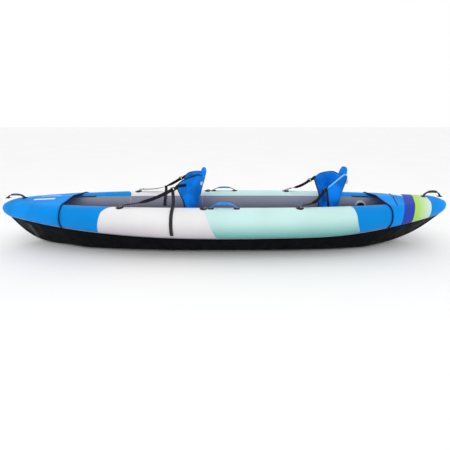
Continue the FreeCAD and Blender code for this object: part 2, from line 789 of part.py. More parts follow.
# ---- Inflation valves ------------------------------------------------------------------------------------------

def valve(name, place, outward, surface, backing):
    """A housing on a welded skirt, a sprung plunger in its bore, and a screw cap over both."""
    face = Placement(place, Rotation(Vector(0, 0, 1), outward))
    housing = turned(
        f"{name}_valve_housing",
        [
            ("sizes.valve_bore_radius", "-18"),
            ("sizes.valve_body_radius", "-18"),
            ("sizes.valve_body_radius", "sizes.valve_body_height"),
            ("sizes.valve_bore_radius", "sizes.valve_body_height"),
        ],
    )
    skirt = Part.makeCylinder(size("valve_skirt_radius"), 50, Vector(0, 0, -40))
    skirt = skirt.cut(Part.makeCylinder(size("valve_body_radius") - 1, 60, Vector(0, 0, -45)))
    skirt.Placement = face
    skirt = feature(f"{name}_valve_skirt", skirt.common(surface))
    housing.Placement = face
    blank = joined("MultiFuse", f"{name}_valve_blank", housing, skirt)
    web_shape = Part.makeCylinder(size("valve_bore_radius") + 1, 2.0, Vector(0, 0, 0.5))
    web_shape.Placement = face
    web = feature(f"{name}_valve_web", web_shape)
    body = joined("MultiFuse", f"{name}_valve_whole", blank, web)
    keep(joined("Cut", f"{name}_valve_body", body, backing), f"{name}_valve_body")
    plunger = turned(
        f"{name}_valve_plunger",
        [
            ("0", "8"),
            ("sizes.plunger_radius * 0.45", "8"),
            ("sizes.plunger_radius", "8 + sizes.plunger_height * 0.6"),
            ("sizes.plunger_radius", "8 + sizes.plunger_height"),
            ("0", "8 + sizes.plunger_height"),
        ],
    )
    plunger.Placement = face
    keep(plunger, f"{name}_valve_plunger")
    wall = "sizes.valve_cap_radius - 4"
    top = "4.5 + sizes.valve_cap_height"
    cap = turned(
        f"{name}_valve_cap",
        [
            ("0", f"{top} - 3"),
            (wall, f"{top} - 3"),
            (wall, "4.5"),
            ("sizes.valve_cap_radius", "4.5"),
            ("sizes.valve_cap_radius", f"{top} - 2"),
            ("sizes.valve_cap_radius - 2", top),
            ("0", top),
        ],
    )
    bar = Part.makeBox(2 * size("valve_cap_radius") - 16, 7, 5.5, Vector(8 - size("valve_cap_radius"), -3.5, 20))
    bar.Placement = face
    cap.Placement = face
    grip_bar = feature(f"{name}_valve_cap_bar", bar)
    keep(joined("MultiFuse", f"{name}_valve_cap", cap, grip_bar), f"{name}_valve_cap")


for side_name, side in SIDES.items():
    x = size("valve_x")
    centre = Vector(x, side * half_spacing(x), centre_height(x))
    outward = Rotation(Vector(0, 0, 1), side * plan_angle(x)).multVec(Vector(0, -side, 0))
    along = Rotation(Vector(0, 0, 1), side * plan_angle(x)).multVec(Vector(1, 0, 0))
    place = centre + outward * tube_radius(x)
    surface = Part.makeCylinder(tube_radius(x) + 3.5, 240, centre - along * 120, along)
    valve(side_name, place, outward, surface, tubes[side])
floor_top = size("floor_bottom") + size("floor_thickness")
floor_place = Vector(size("floor_valve_x"), 0, floor_top)
floor_sheet = Part.makeBox(200, 200, 43, floor_place - Vector(100, 100, 40))
valve("floor", floor_place, Vector(0, 0, 1), floor_sheet, floor_chamber)


# ---- Handle patches ---------------------------------------------------------------------------------------------

def foot_patch(number, foot):
    """A welded patch under one end of a handle."""
    across = size("handle_width") + 12
    block = Part.makeBox(40, across, 24, Vector(foot.x - 20, foot.y - across / 2, foot.z - 0.6 - 24))
    blank = feature(f"foot_blank_{number}", block)
    return joined("Cut", f"foot_{number}", blank, both_tubes)


side_feet = [foot_patch(number, foot) for number, foot in enumerate(HANDLE_FEET[:4])]
keep(joined("Compound", "side_handle_patches", *side_feet), "side_handle_patches")
end_feet = []
for number, foot in enumerate(HANDLE_FEET[4:]):
    low = Vector(foot.x - 16, foot.y - 17, foot.z - 0.6 - 3.4)
    end_feet.append(feature(f"end_foot_{number}", Part.makeBox(32, 34, 3.4, low)))
keep(joined("Compound", "end_handle_patches", *end_feet), "end_handle_patches")

doc.recompute()

# ---- Check and write ----------------------------------------------------------------------------------------------

for thing in doc.Objects:
    if "Invalid" in thing.State or "Error" in thing.State:
        raise RuntimeError(f"{thing.Label}: {thing.State}")
os.makedirs("parts", exist_ok=True)
for label, thing in nodes.items():
    if thing.Shape.isNull() or not thing.Shape.isValid():
        raise RuntimeError(f"{label} has no valid shape")
    thing.Shape.exportStep(f"parts/{label}.step")
print(len(nodes), "sub-parts")
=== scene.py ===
"""A tandem inflatable kayak: bow at -X, stern at +X, starboard at +Y, keel on Z = 0."""

import json
import math

import bmesh
import bpy
from mathutils import Matrix, Vector, noise


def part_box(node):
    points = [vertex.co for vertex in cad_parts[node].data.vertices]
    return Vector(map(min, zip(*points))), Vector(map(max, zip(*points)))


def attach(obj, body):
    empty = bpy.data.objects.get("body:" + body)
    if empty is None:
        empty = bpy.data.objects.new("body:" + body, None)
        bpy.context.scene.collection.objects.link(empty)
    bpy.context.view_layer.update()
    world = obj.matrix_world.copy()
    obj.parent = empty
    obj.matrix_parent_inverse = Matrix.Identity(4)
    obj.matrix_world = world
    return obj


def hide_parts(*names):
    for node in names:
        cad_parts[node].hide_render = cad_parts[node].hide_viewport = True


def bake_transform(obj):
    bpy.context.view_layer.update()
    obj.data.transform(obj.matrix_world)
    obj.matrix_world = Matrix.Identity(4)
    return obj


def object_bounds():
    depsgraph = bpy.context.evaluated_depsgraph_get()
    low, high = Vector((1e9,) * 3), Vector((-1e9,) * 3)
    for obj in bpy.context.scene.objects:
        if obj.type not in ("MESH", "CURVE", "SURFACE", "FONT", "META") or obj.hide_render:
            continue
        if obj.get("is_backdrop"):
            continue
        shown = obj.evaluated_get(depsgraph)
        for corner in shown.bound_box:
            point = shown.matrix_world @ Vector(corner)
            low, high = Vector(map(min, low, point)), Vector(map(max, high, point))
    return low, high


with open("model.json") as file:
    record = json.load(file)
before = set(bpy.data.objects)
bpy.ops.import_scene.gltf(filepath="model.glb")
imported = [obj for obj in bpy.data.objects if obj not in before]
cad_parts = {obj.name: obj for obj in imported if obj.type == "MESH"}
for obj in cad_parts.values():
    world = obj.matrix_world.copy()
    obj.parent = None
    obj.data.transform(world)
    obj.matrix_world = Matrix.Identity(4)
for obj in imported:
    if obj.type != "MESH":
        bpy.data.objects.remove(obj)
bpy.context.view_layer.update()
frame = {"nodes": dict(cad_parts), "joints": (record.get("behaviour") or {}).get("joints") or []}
scene = bpy.context.scene
joints = {joint["name"]: joint for joint in frame["joints"]}


def joint_place(name):
    """Where a joint is."""
    return Vector(joints[name]["pos_m"])



# ---- Tube covers ---------------------------------------------------------------------------------
# Each side tube is a coated-fabric cover round an air bladder. Its outer panels are printed blue,
# white and mint and stitched along curved seams; the panel facing the paddlers is plain grey.
# The white and mint panels darken towards the tube's underside: painted shade, standing in for the shade that
# falls under the tube.

PORT, STARBOARD = -1, 1
SIDES = {"port": PORT, "starboard": STARBOARD}
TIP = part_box("starboard_air_tube")[1].x
PLAN_LENGTH = 2.100
PLAN_POWER = 2.77
HALF_SPACING = 0.295
TUBE_RADIUS = 0.132
TUBE_TAPER = 0.067
TUBE_HEIGHT = 0.290
END_RISE = {"bow": -0.017, "stern": 0.015}
SEAM_TURN = 146.0
INNER_PANEL_TURN = -40.0
BELLY = 0.016
BELLY_X = 1.02
BELLY_RUN = 0.42


def spacing(x):
    """How far out a tube's centre line is at x."""
    return HALF_SPACING * (1 - min(1.0, abs(x / PLAN_LENGTH)) ** PLAN_POWER)


def radius(x):
    """Tube radius at x, rounded off over the last stretch before the tip."""
    u = min(1.0, abs(x) / TIP)
    tip = max(0.0, (u - 0.94) / 0.06)
    return (TUBE_RADIUS - TUBE_TAPER * u * u) * math.sqrt(max(0.012, 1 - tip * tip))


def height(x):
    """Height of a tube's centre line at x."""
    u = min(1.0, abs(x) / TIP)
    rise = END_RISE["stern"] if x > 0 else END_RISE["bow"]
    return TUBE_HEIGHT + TUBE_TAPER * u * u + rise * u ** 8


def belly(x, turn):
    """How far the cover stands off the bladder low on the stern quarter, where it meets the bottom."""
    if not 70.0 < turn < 175.0:
        return 0.0
    low = (turn - 70.0) / 76.0 if turn < SEAM_TURN else (175.0 - turn) / 29.0
    low = min(1.0, low)
    return BELLY * low * low * (3 - 2 * low) * math.exp(-((x - BELLY_X) / BELLY_RUN) ** 2)


def on_tube(x, side, turn, lift=0.0):
    """A point on a tube: turn is in degrees from its top, outwards."""
    reach = radius(x) + belly(x, turn) + lift
    angle = math.radians(turn)
    out = spacing(x) + reach * math.sin(angle)
    return Vector((x, side * max(out, 0.0), height(x) + reach * math.cos(angle)))


def make(name, points, faces, places=None, closed=True):
    """A smooth-shaded piece from points and faces; places are the faces' corners on the flat cloth."""
    mesh = bpy.data.meshes.new(name)
    mesh.from_pydata([tuple(p) for p in points], [], faces)
    if places:
        flat = mesh.uv_layers.new(name="cloth")
        for corner, place in enumerate(places):
            flat.data[corner].uv = place
    mesh.polygons.foreach_set("use_smooth", [True] * len(mesh.polygons))
    if closed:
        work = bmesh.new()
        work.from_mesh(mesh)
        bmesh.ops.recalc_face_normals(work, faces=work.faces)
        work.to_mesh(mesh)
        work.free()
    obj = bpy.data.objects.new(name, mesh)
    scene.collection.objects.link(obj)
    return obj


def dress(piece, finish, body, node=None):
    """Give a piece its material, the body it rides on and the CAD node it replaces."""
    piece.data.materials.append(finish.material)
    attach(piece, body)
    if node:
        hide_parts(node)


def grid(name, rows, along, across, ring=False, capped=False):
    """A piece through rows of points. along and across are the rows' and columns' cloth places."""
    count = len(rows[0])
    points = [p for row in rows for p in row]
    faces, places = [], []
    for i in range(len(rows) - 1):
        for j in range(count if ring else count - 1):
            k = (j + 1) % count
            faces.append((i * count + j, i * count + k, (i + 1) * count + k, (i + 1) * count + j))
            places += [(along[i], across[j]), (along[i], across[j + 1])]
            places += [(along[i + 1], across[j + 1]), (along[i + 1], across[j])]
    if capped:
        for i in (0, len(rows) - 1):
            faces.append(tuple(i * count + j for j in range(count)))
            places += [(along[i], across[j]) for j in range(count)]
    return make(name, points, faces, places, ring)


class Finish:
    """A material with its shader, and short ways to wire its colour and bump."""

    def __init__(self, name, color, roughness, **fixed):
        self.material = bpy.data.materials.new(name)
        self.material.use_nodes = True
        self.material.diffuse_color = (*color, 1)
        self.nodes = self.material.node_tree.nodes
        self.links = self.material.node_tree.links
        self.shader = self.nodes["Principled BSDF"]
        self.shader.inputs["Base Color"].default_value = (*color, 1)
        self.shader.inputs["Roughness"].default_value = roughness
        for socket, value in fixed.items():
            self.shader.inputs[socket.replace("_", " ")].default_value = value
        self.relief = None
        self.places = None

    def node(self, kind, **values):
        """A node with its settings, and its inputs linked or set by name."""
        made = self.nodes.new(f"ShaderNode{kind}")
        for key, value in values.items():
            if hasattr(made, key):
                setattr(made, key, value)
            else:
                self.wire(value, made.inputs[key.replace("_", " ")])
        return made

    def wire(self, value, socket):
        """Link an output to a socket, or set the socket's own value."""
        if isinstance(value, bpy.types.NodeSocket):
            self.links.new(value, socket)
        else:
            socket.default_value = value

    def sum(self, operation, *values):
        """A Math node's result."""
        made = self.nodes.new("ShaderNodeMath")
        made.operation = operation
        for value, socket in zip(values, made.inputs):
            self.wire(value, socket)
        return made.outputs[0]

    def ramp(self, value, low, high, start=0.0, stop=1.0, shape="SMOOTHSTEP"):
        """value from low to high, mapped to start to stop."""
        made = self.nodes.new("ShaderNodeMapRange")
        made.interpolation_type = shape
        for number, amount in enumerate((value, low, high, start, stop)):
            self.wire(amount, made.inputs[number])
        return made.outputs[0]

    def cloth(self):
        """The place on the flat cloth: along and across, in the units that the piece was made with."""
        if self.places is None:
            picked = self.node("UVMap", uv_map="cloth")
            split = self.nodes.new("ShaderNodeSeparateXYZ")
            self.links.new(picked.outputs[0], split.inputs[0])
            self.places = (split.outputs[0], split.outputs[1])
        return self.places

    def mix(self, share, first, second):
        """One colour turning into another."""
        made = self.nodes.new("ShaderNodeMix")
        made.data_type = "RGBA"
        self.wire(share, made.inputs[0])
        for color, socket in ((first, made.inputs[6]), (second, made.inputs[7])):
            self.wire(color if isinstance(color, bpy.types.NodeSocket) else (*color, 1), socket)
        return made.outputs[2]

    def speckle(self, scale, detail=3.0):
        """A soft noise in the object's own space."""
        place = self.nodes.new("ShaderNodeTexCoord").outputs["Object"]
        made = self.nodes.new("ShaderNodeTexNoise")
        self.links.new(place, made.inputs["Vector"])
        made.inputs["Scale"].default_value = scale
        made.inputs["Detail"].default_value = detail
        return made.outputs[0]

    def tint(self, color, amount=0.12, scale=5.0):
        """A colour that drifts a little lighter and darker over the surface."""
        drift = self.ramp(self.speckle(scale), 0.3, 0.7)
        if isinstance(color, bpy.types.NodeSocket):
            dark = self.mix(amount, color, (0.0, 0.0, 0.0))
            return self.mix(drift, dark, color)
        dark = tuple(c * (1 - amount) for c in color)
        light = tuple(min(1.0, c * (1 + amount * 0.5)) for c in color)
        return self.mix(drift, dark, light)

    def paint(self, color):
        """Set the base colour."""
        self.wire(color, self.shader.inputs["Base Color"])
        return self

    def tone(self, color, amount, scale):
        """Paint with a drifting colour."""
        return self.paint(self.tint(color, amount, scale))

    def grain(self, scale, detail, depth):
        """Raise the surface by a fine noise."""
        return self.raise_by(self.speckle(scale, detail), depth)

    def raise_by(self, value, depth):
        """Add one more bump of a real depth, in metres."""
        made = self.nodes.new("ShaderNodeBump")
        made.inputs["Strength"].default_value = 1.0
        made.inputs["Distance"].default_value = depth
        self.links.new(value, made.inputs["Height"])
        if self.relief:
            self.links.new(self.relief, made.inputs["Normal"])
        self.relief = made.outputs[0]
        self.links.new(self.relief, self.shader.inputs["Normal"])
        return self

    def weave(self, pitch, depth):
        """A plain weave, counted on the flat cloth in metres."""
        along, across = self.cloth()
        turns = 2 * math.pi / pitch
        warp = self.sum("SINE", self.sum("MULTIPLY", along, turns))
        weft = self.sum("SINE", self.sum("MULTIPLY", across, turns))
        return self.raise_by(self.sum("MULTIPLY", warp, weft), depth)

    def patchy_gloss(self, low, high, scale=8.0):
        """Roughness that varies with handling."""
        self.wire(self.ramp(self.speckle(scale), 0.3, 0.7, low, high), self.shader.inputs["Roughness"])
        return self


COVER_BLUE = (0.0, 0.250, 0.72)
COVER_WHITE = (0.80, 0.79, 0.80)
# The next two colours are painted shade: the white and the mint panel where the tube's underside is in shade.
WHITE_PAINTED_SHADE = (0.60, 0.56, 0.61)
COVER_MINT = (0.56, 0.80, 0.78)
MINT_PAINTED_SHADE = (0.13, 0.43, 0.41)
INNER_GREY = (0.27, 0.28, 0.35)
PANEL_SEAM_HALF = 0.0028
cover = Finish("cover_panels", COVER_BLUE, 0.42, Specular_IOR_Level=0.06)
cover_x, cover_v = cover.cloth()
cover_turn = cover.sum("MULTIPLY", cover_v, 180.0)
white_from = cover.sum(
    "ADD",
    cover.ramp(cover_turn, -35.0, 50.0, -0.930, -1.020),
    cover.ramp(cover_turn, 50.0, 150.0, 0.0, -0.044, "LINEAR"),
)
mint_from = cover.ramp(cover_turn, -40.0, 150.0, -0.216, -0.050, "LINEAR")
blue_from = cover.sum(
    "ADD",
    cover.ramp(cover_turn, -40.0, 90.0, 1.076, 1.106, "LINEAR"),
    cover.ramp(cover_turn, 80.0, 150.0, 0.0, 0.044),
)
# Painted shade: low on the tube's side the white and mint panels turn to their shaded colours.
painted_shade_low_side = cover.ramp(cover_turn, 55.0, 142.0)
white_with_painted_shade = cover.mix(painted_shade_low_side, COVER_WHITE, WHITE_PAINTED_SHADE)
mint_with_painted_shade = cover.mix(painted_shade_low_side, COVER_MINT, MINT_PAINTED_SHADE)
cover_color = None
cover_seam = None
for seam_x, panel in ((white_from, white_with_painted_shade), (mint_from, mint_with_painted_shade), (blue_from, COVER_BLUE)):
    past = cover.sum("SUBTRACT", cover_x, seam_x)
    share = cover.ramp(past, -0.0006, 0.0006, shape="LINEAR")
    cover_color = cover.mix(share, cover_color or COVER_BLUE, panel)
    near = cover.ramp(cover.sum("ABSOLUTE", past), PANEL_SEAM_HALF, PANEL_SEAM_HALF * 1.6, 1.0, 0.0)
    cover_seam = near if cover_seam is None else cover.sum("MAXIMUM", cover_seam, near)
outer = cover.ramp(cover_turn, INNER_PANEL_TURN - 0.4, INNER_PANEL_TURN + 0.4, shape="LINEAR")
cover_color = cover.mix(outer, INNER_GREY, cover_color)
seam_tone = cover.sum("MULTIPLY", cover_seam, 0.18)
cover.paint(cover.mix(seam_tone, cover.tint(cover_color, 0.07, 3.0), (0.9, 0.95, 1.0)))
inner_edge = cover.sum("ABSOLUTE", cover.sum("SUBTRACT", cover_turn, INNER_PANEL_TURN))
cover.raise_by(cover.ramp(inner_edge, 1.0, 2.4, 1.0, 0.0), 0.0012)
cover.raise_by(cover_seam, 0.0010)
cover.grain(4.0, 2.0, 0.010).grain(900.0, 1.0, 0.00012).patchy_gloss(0.36, 0.5)

TUBE_ROWS = 240
TUBE_COLUMNS = 72
tube_xs = [TIP * 0.9995 * math.sin(math.pi / 2 * (2 * i / TUBE_ROWS - 1)) for i in range(TUBE_ROWS + 1)]
tube_turns = [-180 + 360 * j / TUBE_COLUMNS for j in range(TUBE_COLUMNS + 1)]
PUCKER = 0.0016


def puckered(x, side, turn, lift=0.0):
    """A point on a filled cover, which pulls in a little along its seams and wrinkles at its ends."""
    ends = max(0.0, abs(x) / TIP - 0.45)
    ripple = noise.noise(Vector((x * 9, turn / 24, side * 3.7)))
    ripple += 0.5 * noise.noise(Vector((x * 26, turn / 16, side * 9.1)))
    return on_tube(x, side, turn, lift + PUCKER * (0.35 + 1.6 * ends) * ripple)


for side_name, side in SIDES.items():
    rows = [[puckered(x, side, turn) for turn in tube_turns[:-1]] for x in tube_xs]
    tube = grid(f"{side_name}_tube_cover", rows, tube_xs, [t / 180 for t in tube_turns], True, True)
    dress(tube, cover, "root", f"{side_name}_air_tube")

# ---- Hull bottom ---------------------------------------------------------------------------------
# The bottom is a heavy black coated skin, glued up with a boxy chine on each side. It runs from tape
# seam to tape seam under the floor, and lifts into a narrow stem at the bow and the stern.

HULL_TIP = 0.988 * TIP
HULL_SKIN = 0.003
KEEL_HALF = 0.160
CHINE_RISE = 0.020
CHINE_INSET = 0.020
ROCKER = {"bow": (1.500, 0.290, 3.2), "stern": (1.050, 0.290, 3.6)}


def keel(x):
    """Height of the keel at x: flat under the cockpit, then rising to the tip."""
    start, rise, power = ROCKER["stern" if x > 0 else "bow"]
    run = max(0.0, (abs(x) - start) / (TIP - start))
    return rise * run ** power


def round_corner(before, corner, after, cut, steps=6):
    """Points round a corner, from a cut before it to a cut after it."""
    start = corner + (before - corner).normalized() * min(cut, (before - corner).length * 0.45)
    stop = corner + (after - corner).normalized() * min(cut, (after - corner).length * 0.45)
    points = []
    for k in range(steps + 1):
        t = k / steps
        points.append(start * (1 - t) ** 2 + corner * 2 * t * (1 - t) + stop * t * t)
    return points


def hull_line(x, inset=0.0):
    """Half of the hull's section at x, from the starboard seam down to the keel."""
    u = abs(x) / TIP
    narrow = max(0.0, (u - 0.62) / 0.38)
    angle = math.radians(SEAM_TURN - 90)
    reach = radius(x) + 0.001 - inset
    seam = Vector((x, spacing(x) + reach * math.cos(angle), height(x) - reach * math.sin(angle)))
    low = keel(x)
    out = max((spacing(x) - CHINE_INSET) * (1 - 0.35 * narrow), 0.012) - inset
    chine = Vector((x, out, low + CHINE_RISE + (seam.z - low) * 0.25 * narrow + inset))
    flat = min(KEEL_HALF * (1 - narrow) + 0.005, out * 0.7)
    edge = Vector((x, flat, low + inset))
    middle = Vector((x, 0.0, low + inset))
    wall = [seam.lerp(chine, k / 6) for k in range(4)]
    bulge = 0.006 * (1 - narrow)
    for k, point in enumerate(wall):
        point.y += bulge * math.sin(math.pi * k / 6)
    return wall + round_corner(seam, chine, edge, 0.035) + round_corner(chine, edge, middle, 0.03) + [middle]


def ring_round(x):
    """The hull skin's whole section at x: its outside, then its inside on the way back."""
    out, back = hull_line(x), hull_line(x, HULL_SKIN)
    outside = out + [Vector((p.x, -p.y, p.z)) for p in reversed(out[:-1])]
    inside = back + [Vector((p.x, -p.y, p.z)) for p in reversed(back[:-1])]
    return outside + list(reversed(inside))


hull_xs = [HULL_TIP * math.sin(math.pi / 2 * (k / 80)) for k in range(-80, 81)]
hull_rows = [ring_round(x) for x in hull_xs]
hull_across = [k * 0.02 for k in range(len(hull_rows[0]) + 1)]
hull = grid("hull_skin", hull_rows, hull_xs, hull_across, True, True)
black_skin = Finish("black_coated_skin", (0.0025, 0.0028, 0.004), 0.55, Specular_IOR_Level=0.04)
black_skin.tone((0.0025, 0.0028, 0.004), 0.35, 14.0).grain(7.0, 2.0, 0.012).grain(650.0, 2.0, 0.0002)
black_skin.patchy_gloss(0.45, 0.65, 20.0)
dress(hull, black_skin, "root", "hull_bottom")


def swept(name, path, outline, across):
    """A piece whose section follows a path. outline is (across, up) points; across gives each
    path point's sideways direction."""
    rows, along, travelled = [], [], 0.0
    for k, point in enumerate(path):
        before, after = path[max(k - 1, 0)], path[min(k + 1, len(path) - 1)]
        forward = (after - before).normalized()
        sideways = across[k] - forward * across[k].dot(forward)
        sideways.normalize()
        up = forward.cross(sideways)
        rows.append([point + (sideways * a + up * b) for a, b in outline])
        travelled += (point - path[k - 1]).length if k else 0.0
        along.append(travelled)
    loops = outline + outline[:1]
    places, edge = [0.0], 0.0
    for start, stop in zip(loops, loops[1:]):
        edge += math.dist(start, stop)
        places.append(edge)
    return grid(name, rows, along, places, True, True)


def round_outline(reach, sides=12):
    """A circle's outline."""
    turns = [2 * math.pi * k / sides for k in range(sides)]
    return [(reach * math.cos(turn), reach * math.sin(turn)) for turn in turns]


def flat_outline(width, thickness):
    """A flat band's outline with rounded edges."""
    half, thick = width / 2, thickness / 2
    upper = [(half - thick * 0.6, thick), (half / 3, thick), (-half / 3, thick), (-half + thick * 0.6, thick)]
    left, right = [(-half, 0.0)], [(half, 0.0)]
    return right + upper + left + [(a, -b) for a, b in reversed(upper)]


# ---- Seam tapes ----------------------------------------------------------------------------------
# A pale heat-welded tape closes the joint between each printed cover and the black bottom. It runs
# the whole length of the boat, low on the outside of each tube.

TAPE_WIDTH = 0.013
tape_finish = Finish("seam_tape", (0.42, 0.42, 0.46), 0.5)
tape_finish.tone((0.42, 0.42, 0.47), 0.15, 9.0).grain(60.0, 2.0, 0.0006)
for side_name, side in SIDES.items():
    tape_xs = [0.975 * TIP * math.sin(math.pi / 2 * (k / 60)) for k in range(-60, 61)]
    path = [on_tube(x, side, SEAM_TURN - 3, 0.0022) for x in tape_xs]
    around = [on_tube(x, side, SEAM_TURN) - on_tube(x, side, SEAM_TURN - 8) for x in tape_xs]
    tape = swept(f"{side_name}_tape", path, flat_outline(TAPE_WIDTH, 0.0018), around)
    dress(tape, tape_finish, "root", f"{side_name}_seam_tape")

# ---- Floor chamber -------------------------------------------------------------------------------
# The floor is a stiff drop-stitch chamber: two skins held flat by thousands of threads, with a
# rounded glued side band. It lies on the bottom skin between the tubes.

floor_low, floor_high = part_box("floor_chamber")
FLOOR_SIDE_GAP = 0.060
FLOOR_ROUND = 0.030


def floor_section(x):
    """The floor's rounded section at x."""
    fade = (abs(x) / floor_high.x) ** 8
    half = spacing(x) - FLOOR_SIDE_GAP - 0.030 * fade
    points = []
    for sign_y, sign_z, first in ((1, 1, 0), (-1, 1, 90), (-1, -1, 180), (1, -1, 270)):
        centre_y = sign_y * (half - FLOOR_ROUND)
        centre_z = (floor_high.z - FLOOR_ROUND) if sign_z > 0 else (floor_low.z + FLOOR_ROUND)
        for k in range(7):
            angle = math.radians(first + 90 * k / 6)
            y = centre_y + FLOOR_ROUND * math.cos(angle)
            points.append(Vector((x, y, centre_z + FLOOR_ROUND * math.sin(angle))))
    return points


floor_xs = [floor_high.x * k / 60 for k in range(-60, 61)]
floor_rows = [floor_section(x) for x in floor_xs]
floor = grid("drop_stitch_floor", floor_rows, floor_xs, [k * 0.02 for k in range(29)], True, True)
floor_finish = Finish("floor_grey", INNER_GREY, 0.5)
floor_finish.tone((0.15, 0.15, 0.18), 0.15, 6.0)
threads = floor_finish.node("TexVoronoi", feature="F1")
threads.inputs["Scale"].default_value = 110.0
floor_place = floor_finish.nodes.new("ShaderNodeTexCoord").outputs["Object"]
floor_finish.links.new(floor_place, threads.inputs["Vector"])
floor_finish.raise_by(threads.outputs["Distance"], 0.0008)
floor_finish.grain(5.0, 1.0, 0.004)
dress(floor, floor_finish, "root", "floor_chamber")

# ---- Spray decks ---------------------------------------------------------------------------------
# Each end is covered by one tensioned fabric deck. It wraps both tubes down to the tape seam, rises
# to a soft ridge over the middle, and is stitched into a rounded nose at the tip.

BOW_EDGE, STERN_EDGE = 1.404, 1.420
DECK_GAP = 0.0025
DECK_CLOTH = 0.0015
RIDGE_RISE = 0.026
DECK_ROWS = 60
DECK_TURNS = 30
DECK_FLATS = 12


def deck_edge(end, turn):
    """How far from midship a deck's cockpit edge is at a turn round the tube."""
    down = max(0.0, min(1.0, turn / SEAM_TURN))
    if end < 0:
        return BOW_EDGE - 0.018 * math.sin(math.pi * down ** 0.8)
    return STERN_EDGE + 0.004 * math.sin(math.pi * down)


def deck_columns():
    """Columns from the starboard seam to the ridge: turns round the tube, then shares to the ridge."""
    turns = [("turn", SEAM_TURN * (1 - k / DECK_TURNS)) for k in range(DECK_TURNS + 1)]
    return turns + [("flat", (k + 1) / DECK_FLATS) for k in range(DECK_FLATS)]


def deck_point(end, column, t, side, lift=DECK_GAP):
    """A point on a deck: t runs from the cockpit edge to the tip."""
    kind, value = column
    turn = value if kind == "turn" else 0.0
    edge = deck_edge(end, turn)
    if kind == "flat":
        edge -= (0.006 if end < 0 else 0.010) * value
    x = end * (edge + (TIP * 0.9992 - edge) * t)
    if kind == "turn":
        wrinkle = 0.0016 * noise.noise(Vector((x * 14, turn / 30, side * 5)))
        return on_tube(x, side, turn, lift + wrinkle * min(1.0, 8 * t))
    top = on_tube(x, side, 0.0, lift)
    reach = max(0.0, 1 - max(0.0, t) * 1.05)
    rise = RIDGE_RISE * reach ** 0.8 * min(1.0, spacing(x) / 0.06)
    slack = 0.0022 * noise.noise(Vector((x * 7, value * 3, side * 2))) * math.sin(math.pi * value)
    crown = rise * (1 - (1 - value) ** 1.35) - 0.004 * math.sin(math.pi * value) * reach + slack
    return Vector((x, top.y * (1 - value), top.z + crown))


def deck_sheet(name, end):
    """The deck's cloth, from the starboard seam over the ridge to the port seam."""
    columns = deck_columns()
    rows, along = [], []
    for i in range(DECK_ROWS + 1):
        t = math.sin(math.pi / 2 * i / DECK_ROWS) ** 0.9 if i else 0.0
        starboard = [deck_point(end, column, t, STARBOARD) for column in columns]
        port = [deck_point(end, column, t, PORT) for column in reversed(columns[:-1])]
        for point in port:
            point.y = -abs(point.y)
        rows.append(starboard + port)
        along.append(i / DECK_ROWS)
    across = [k / (len(rows[0]) - 1) for k in range(len(rows[0]))]
    return grid(name, rows, along, across)


deck_blue = (0.0, 0.270, 0.80)
BAR_OFF_RIDGE, BAR_MIDDLE = 0.052, 1.640
BAR_HALF_WIDTH, BAR_HALF = 0.0125, 0.095
BAND_SLANT = 0.50
deck_finishes = {}
for end_name, end in (("bow", -1), ("stern", 1)):
    deck = deck_sheet(f"{end_name}_deck_cloth", end)
    thick = deck.modifiers.new("cloth", "SOLIDIFY")
    thick.thickness = DECK_CLOTH
    thick.offset = 0.0
    finish = Finish(f"{end_name}_deck_print", deck_blue, 0.48, Specular_IOR_Level=0.06)
    place = finish.nodes.new("ShaderNodeTexCoord").outputs["Object"]
    split = finish.nodes.new("ShaderNodeSeparateXYZ")
    finish.links.new(place, split.inputs[0])
    deck_x, deck_y = split.outputs[0], finish.sum("ABSOLUTE", split.outputs[1])
    color = finish.tint(deck_blue, 0.12, 4.0)
    if end < 0:
        # one plain white bar along each side of the bow ridge
        off = finish.sum("ABSOLUTE", finish.sum("SUBTRACT", deck_y, BAR_OFF_RIDGE))
        beyond = finish.sum("ABSOLUTE", finish.sum("ADD", deck_x, BAR_MIDDLE))
        inside = finish.ramp(off, BAR_HALF_WIDTH, BAR_HALF_WIDTH + 0.001, 1.0, 0.0)
        bar = finish.sum("MULTIPLY", inside, finish.ramp(beyond, BAR_HALF, BAR_HALF + 0.001, 1.0, 0.0))
        color = finish.mix(bar, color, (0.80, 0.81, 0.85))
    else:
        # printed slanting bands: white, indigo, then lime that pales towards the tip
        slanted = finish.sum("SUBTRACT", deck_x, finish.sum("MULTIPLY", split.outputs[1], BAND_SLANT))
        steep = finish.sum("SUBTRACT", deck_x, finish.sum("MULTIPLY", split.outputs[1], -0.55))
        wedge = finish.sum("MULTIPLY", finish.ramp(steep, 1.678, 1.680), finish.ramp(slanted, 1.664, 1.662))
        indigo_from = finish.ramp(slanted, 1.662, 1.664)
        indigo = finish.sum("MULTIPLY", indigo_from, finish.ramp(slanted, 1.758, 1.756))
        end_cap = finish.sum("SUBTRACT", deck_x, finish.sum("MULTIPLY", split.outputs[1], 0.32))
        lime = finish.sum("MULTIPLY", finish.ramp(slanted, 1.756, 1.758), finish.ramp(end_cap, 1.884, 1.882))
        color = finish.mix(wedge, color, (0.80, 0.82, 0.86))
        color = finish.mix(indigo, color, (0.025, 0.058, 0.42))
        pale = finish.ramp(slanted, 1.785, 1.885, shape="LINEAR")
        color = finish.mix(lime, color, finish.mix(pale, (0.40, 0.68, 0.11), (0.60, 0.78, 0.62)))
        line = finish.sum("ABSOLUTE", finish.sum("SUBTRACT", slanted, 1.757))
        color = finish.mix(finish.ramp(line, 0.002, 0.003, 0.6, 0.0), color, (0.01, 0.02, 0.08))
    finish.paint(color)
    finish.grain(11.0, 3.0, 0.006).grain(1100.0, 1.0, 0.00015)
    deck.data.materials.append(finish.material)
    deck_finishes[end_name] = finish
    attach(deck, "root")
    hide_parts(f"{end_name}_spray_deck")

# ---- Deck piping ---------------------------------------------------------------------------------
# A cord sewn into a navy binding stiffens each deck's cockpit edge. It goes from seam to seam over
# both tubes. The stern deck has a second, thinner welt that runs aft to a point on the ridge.

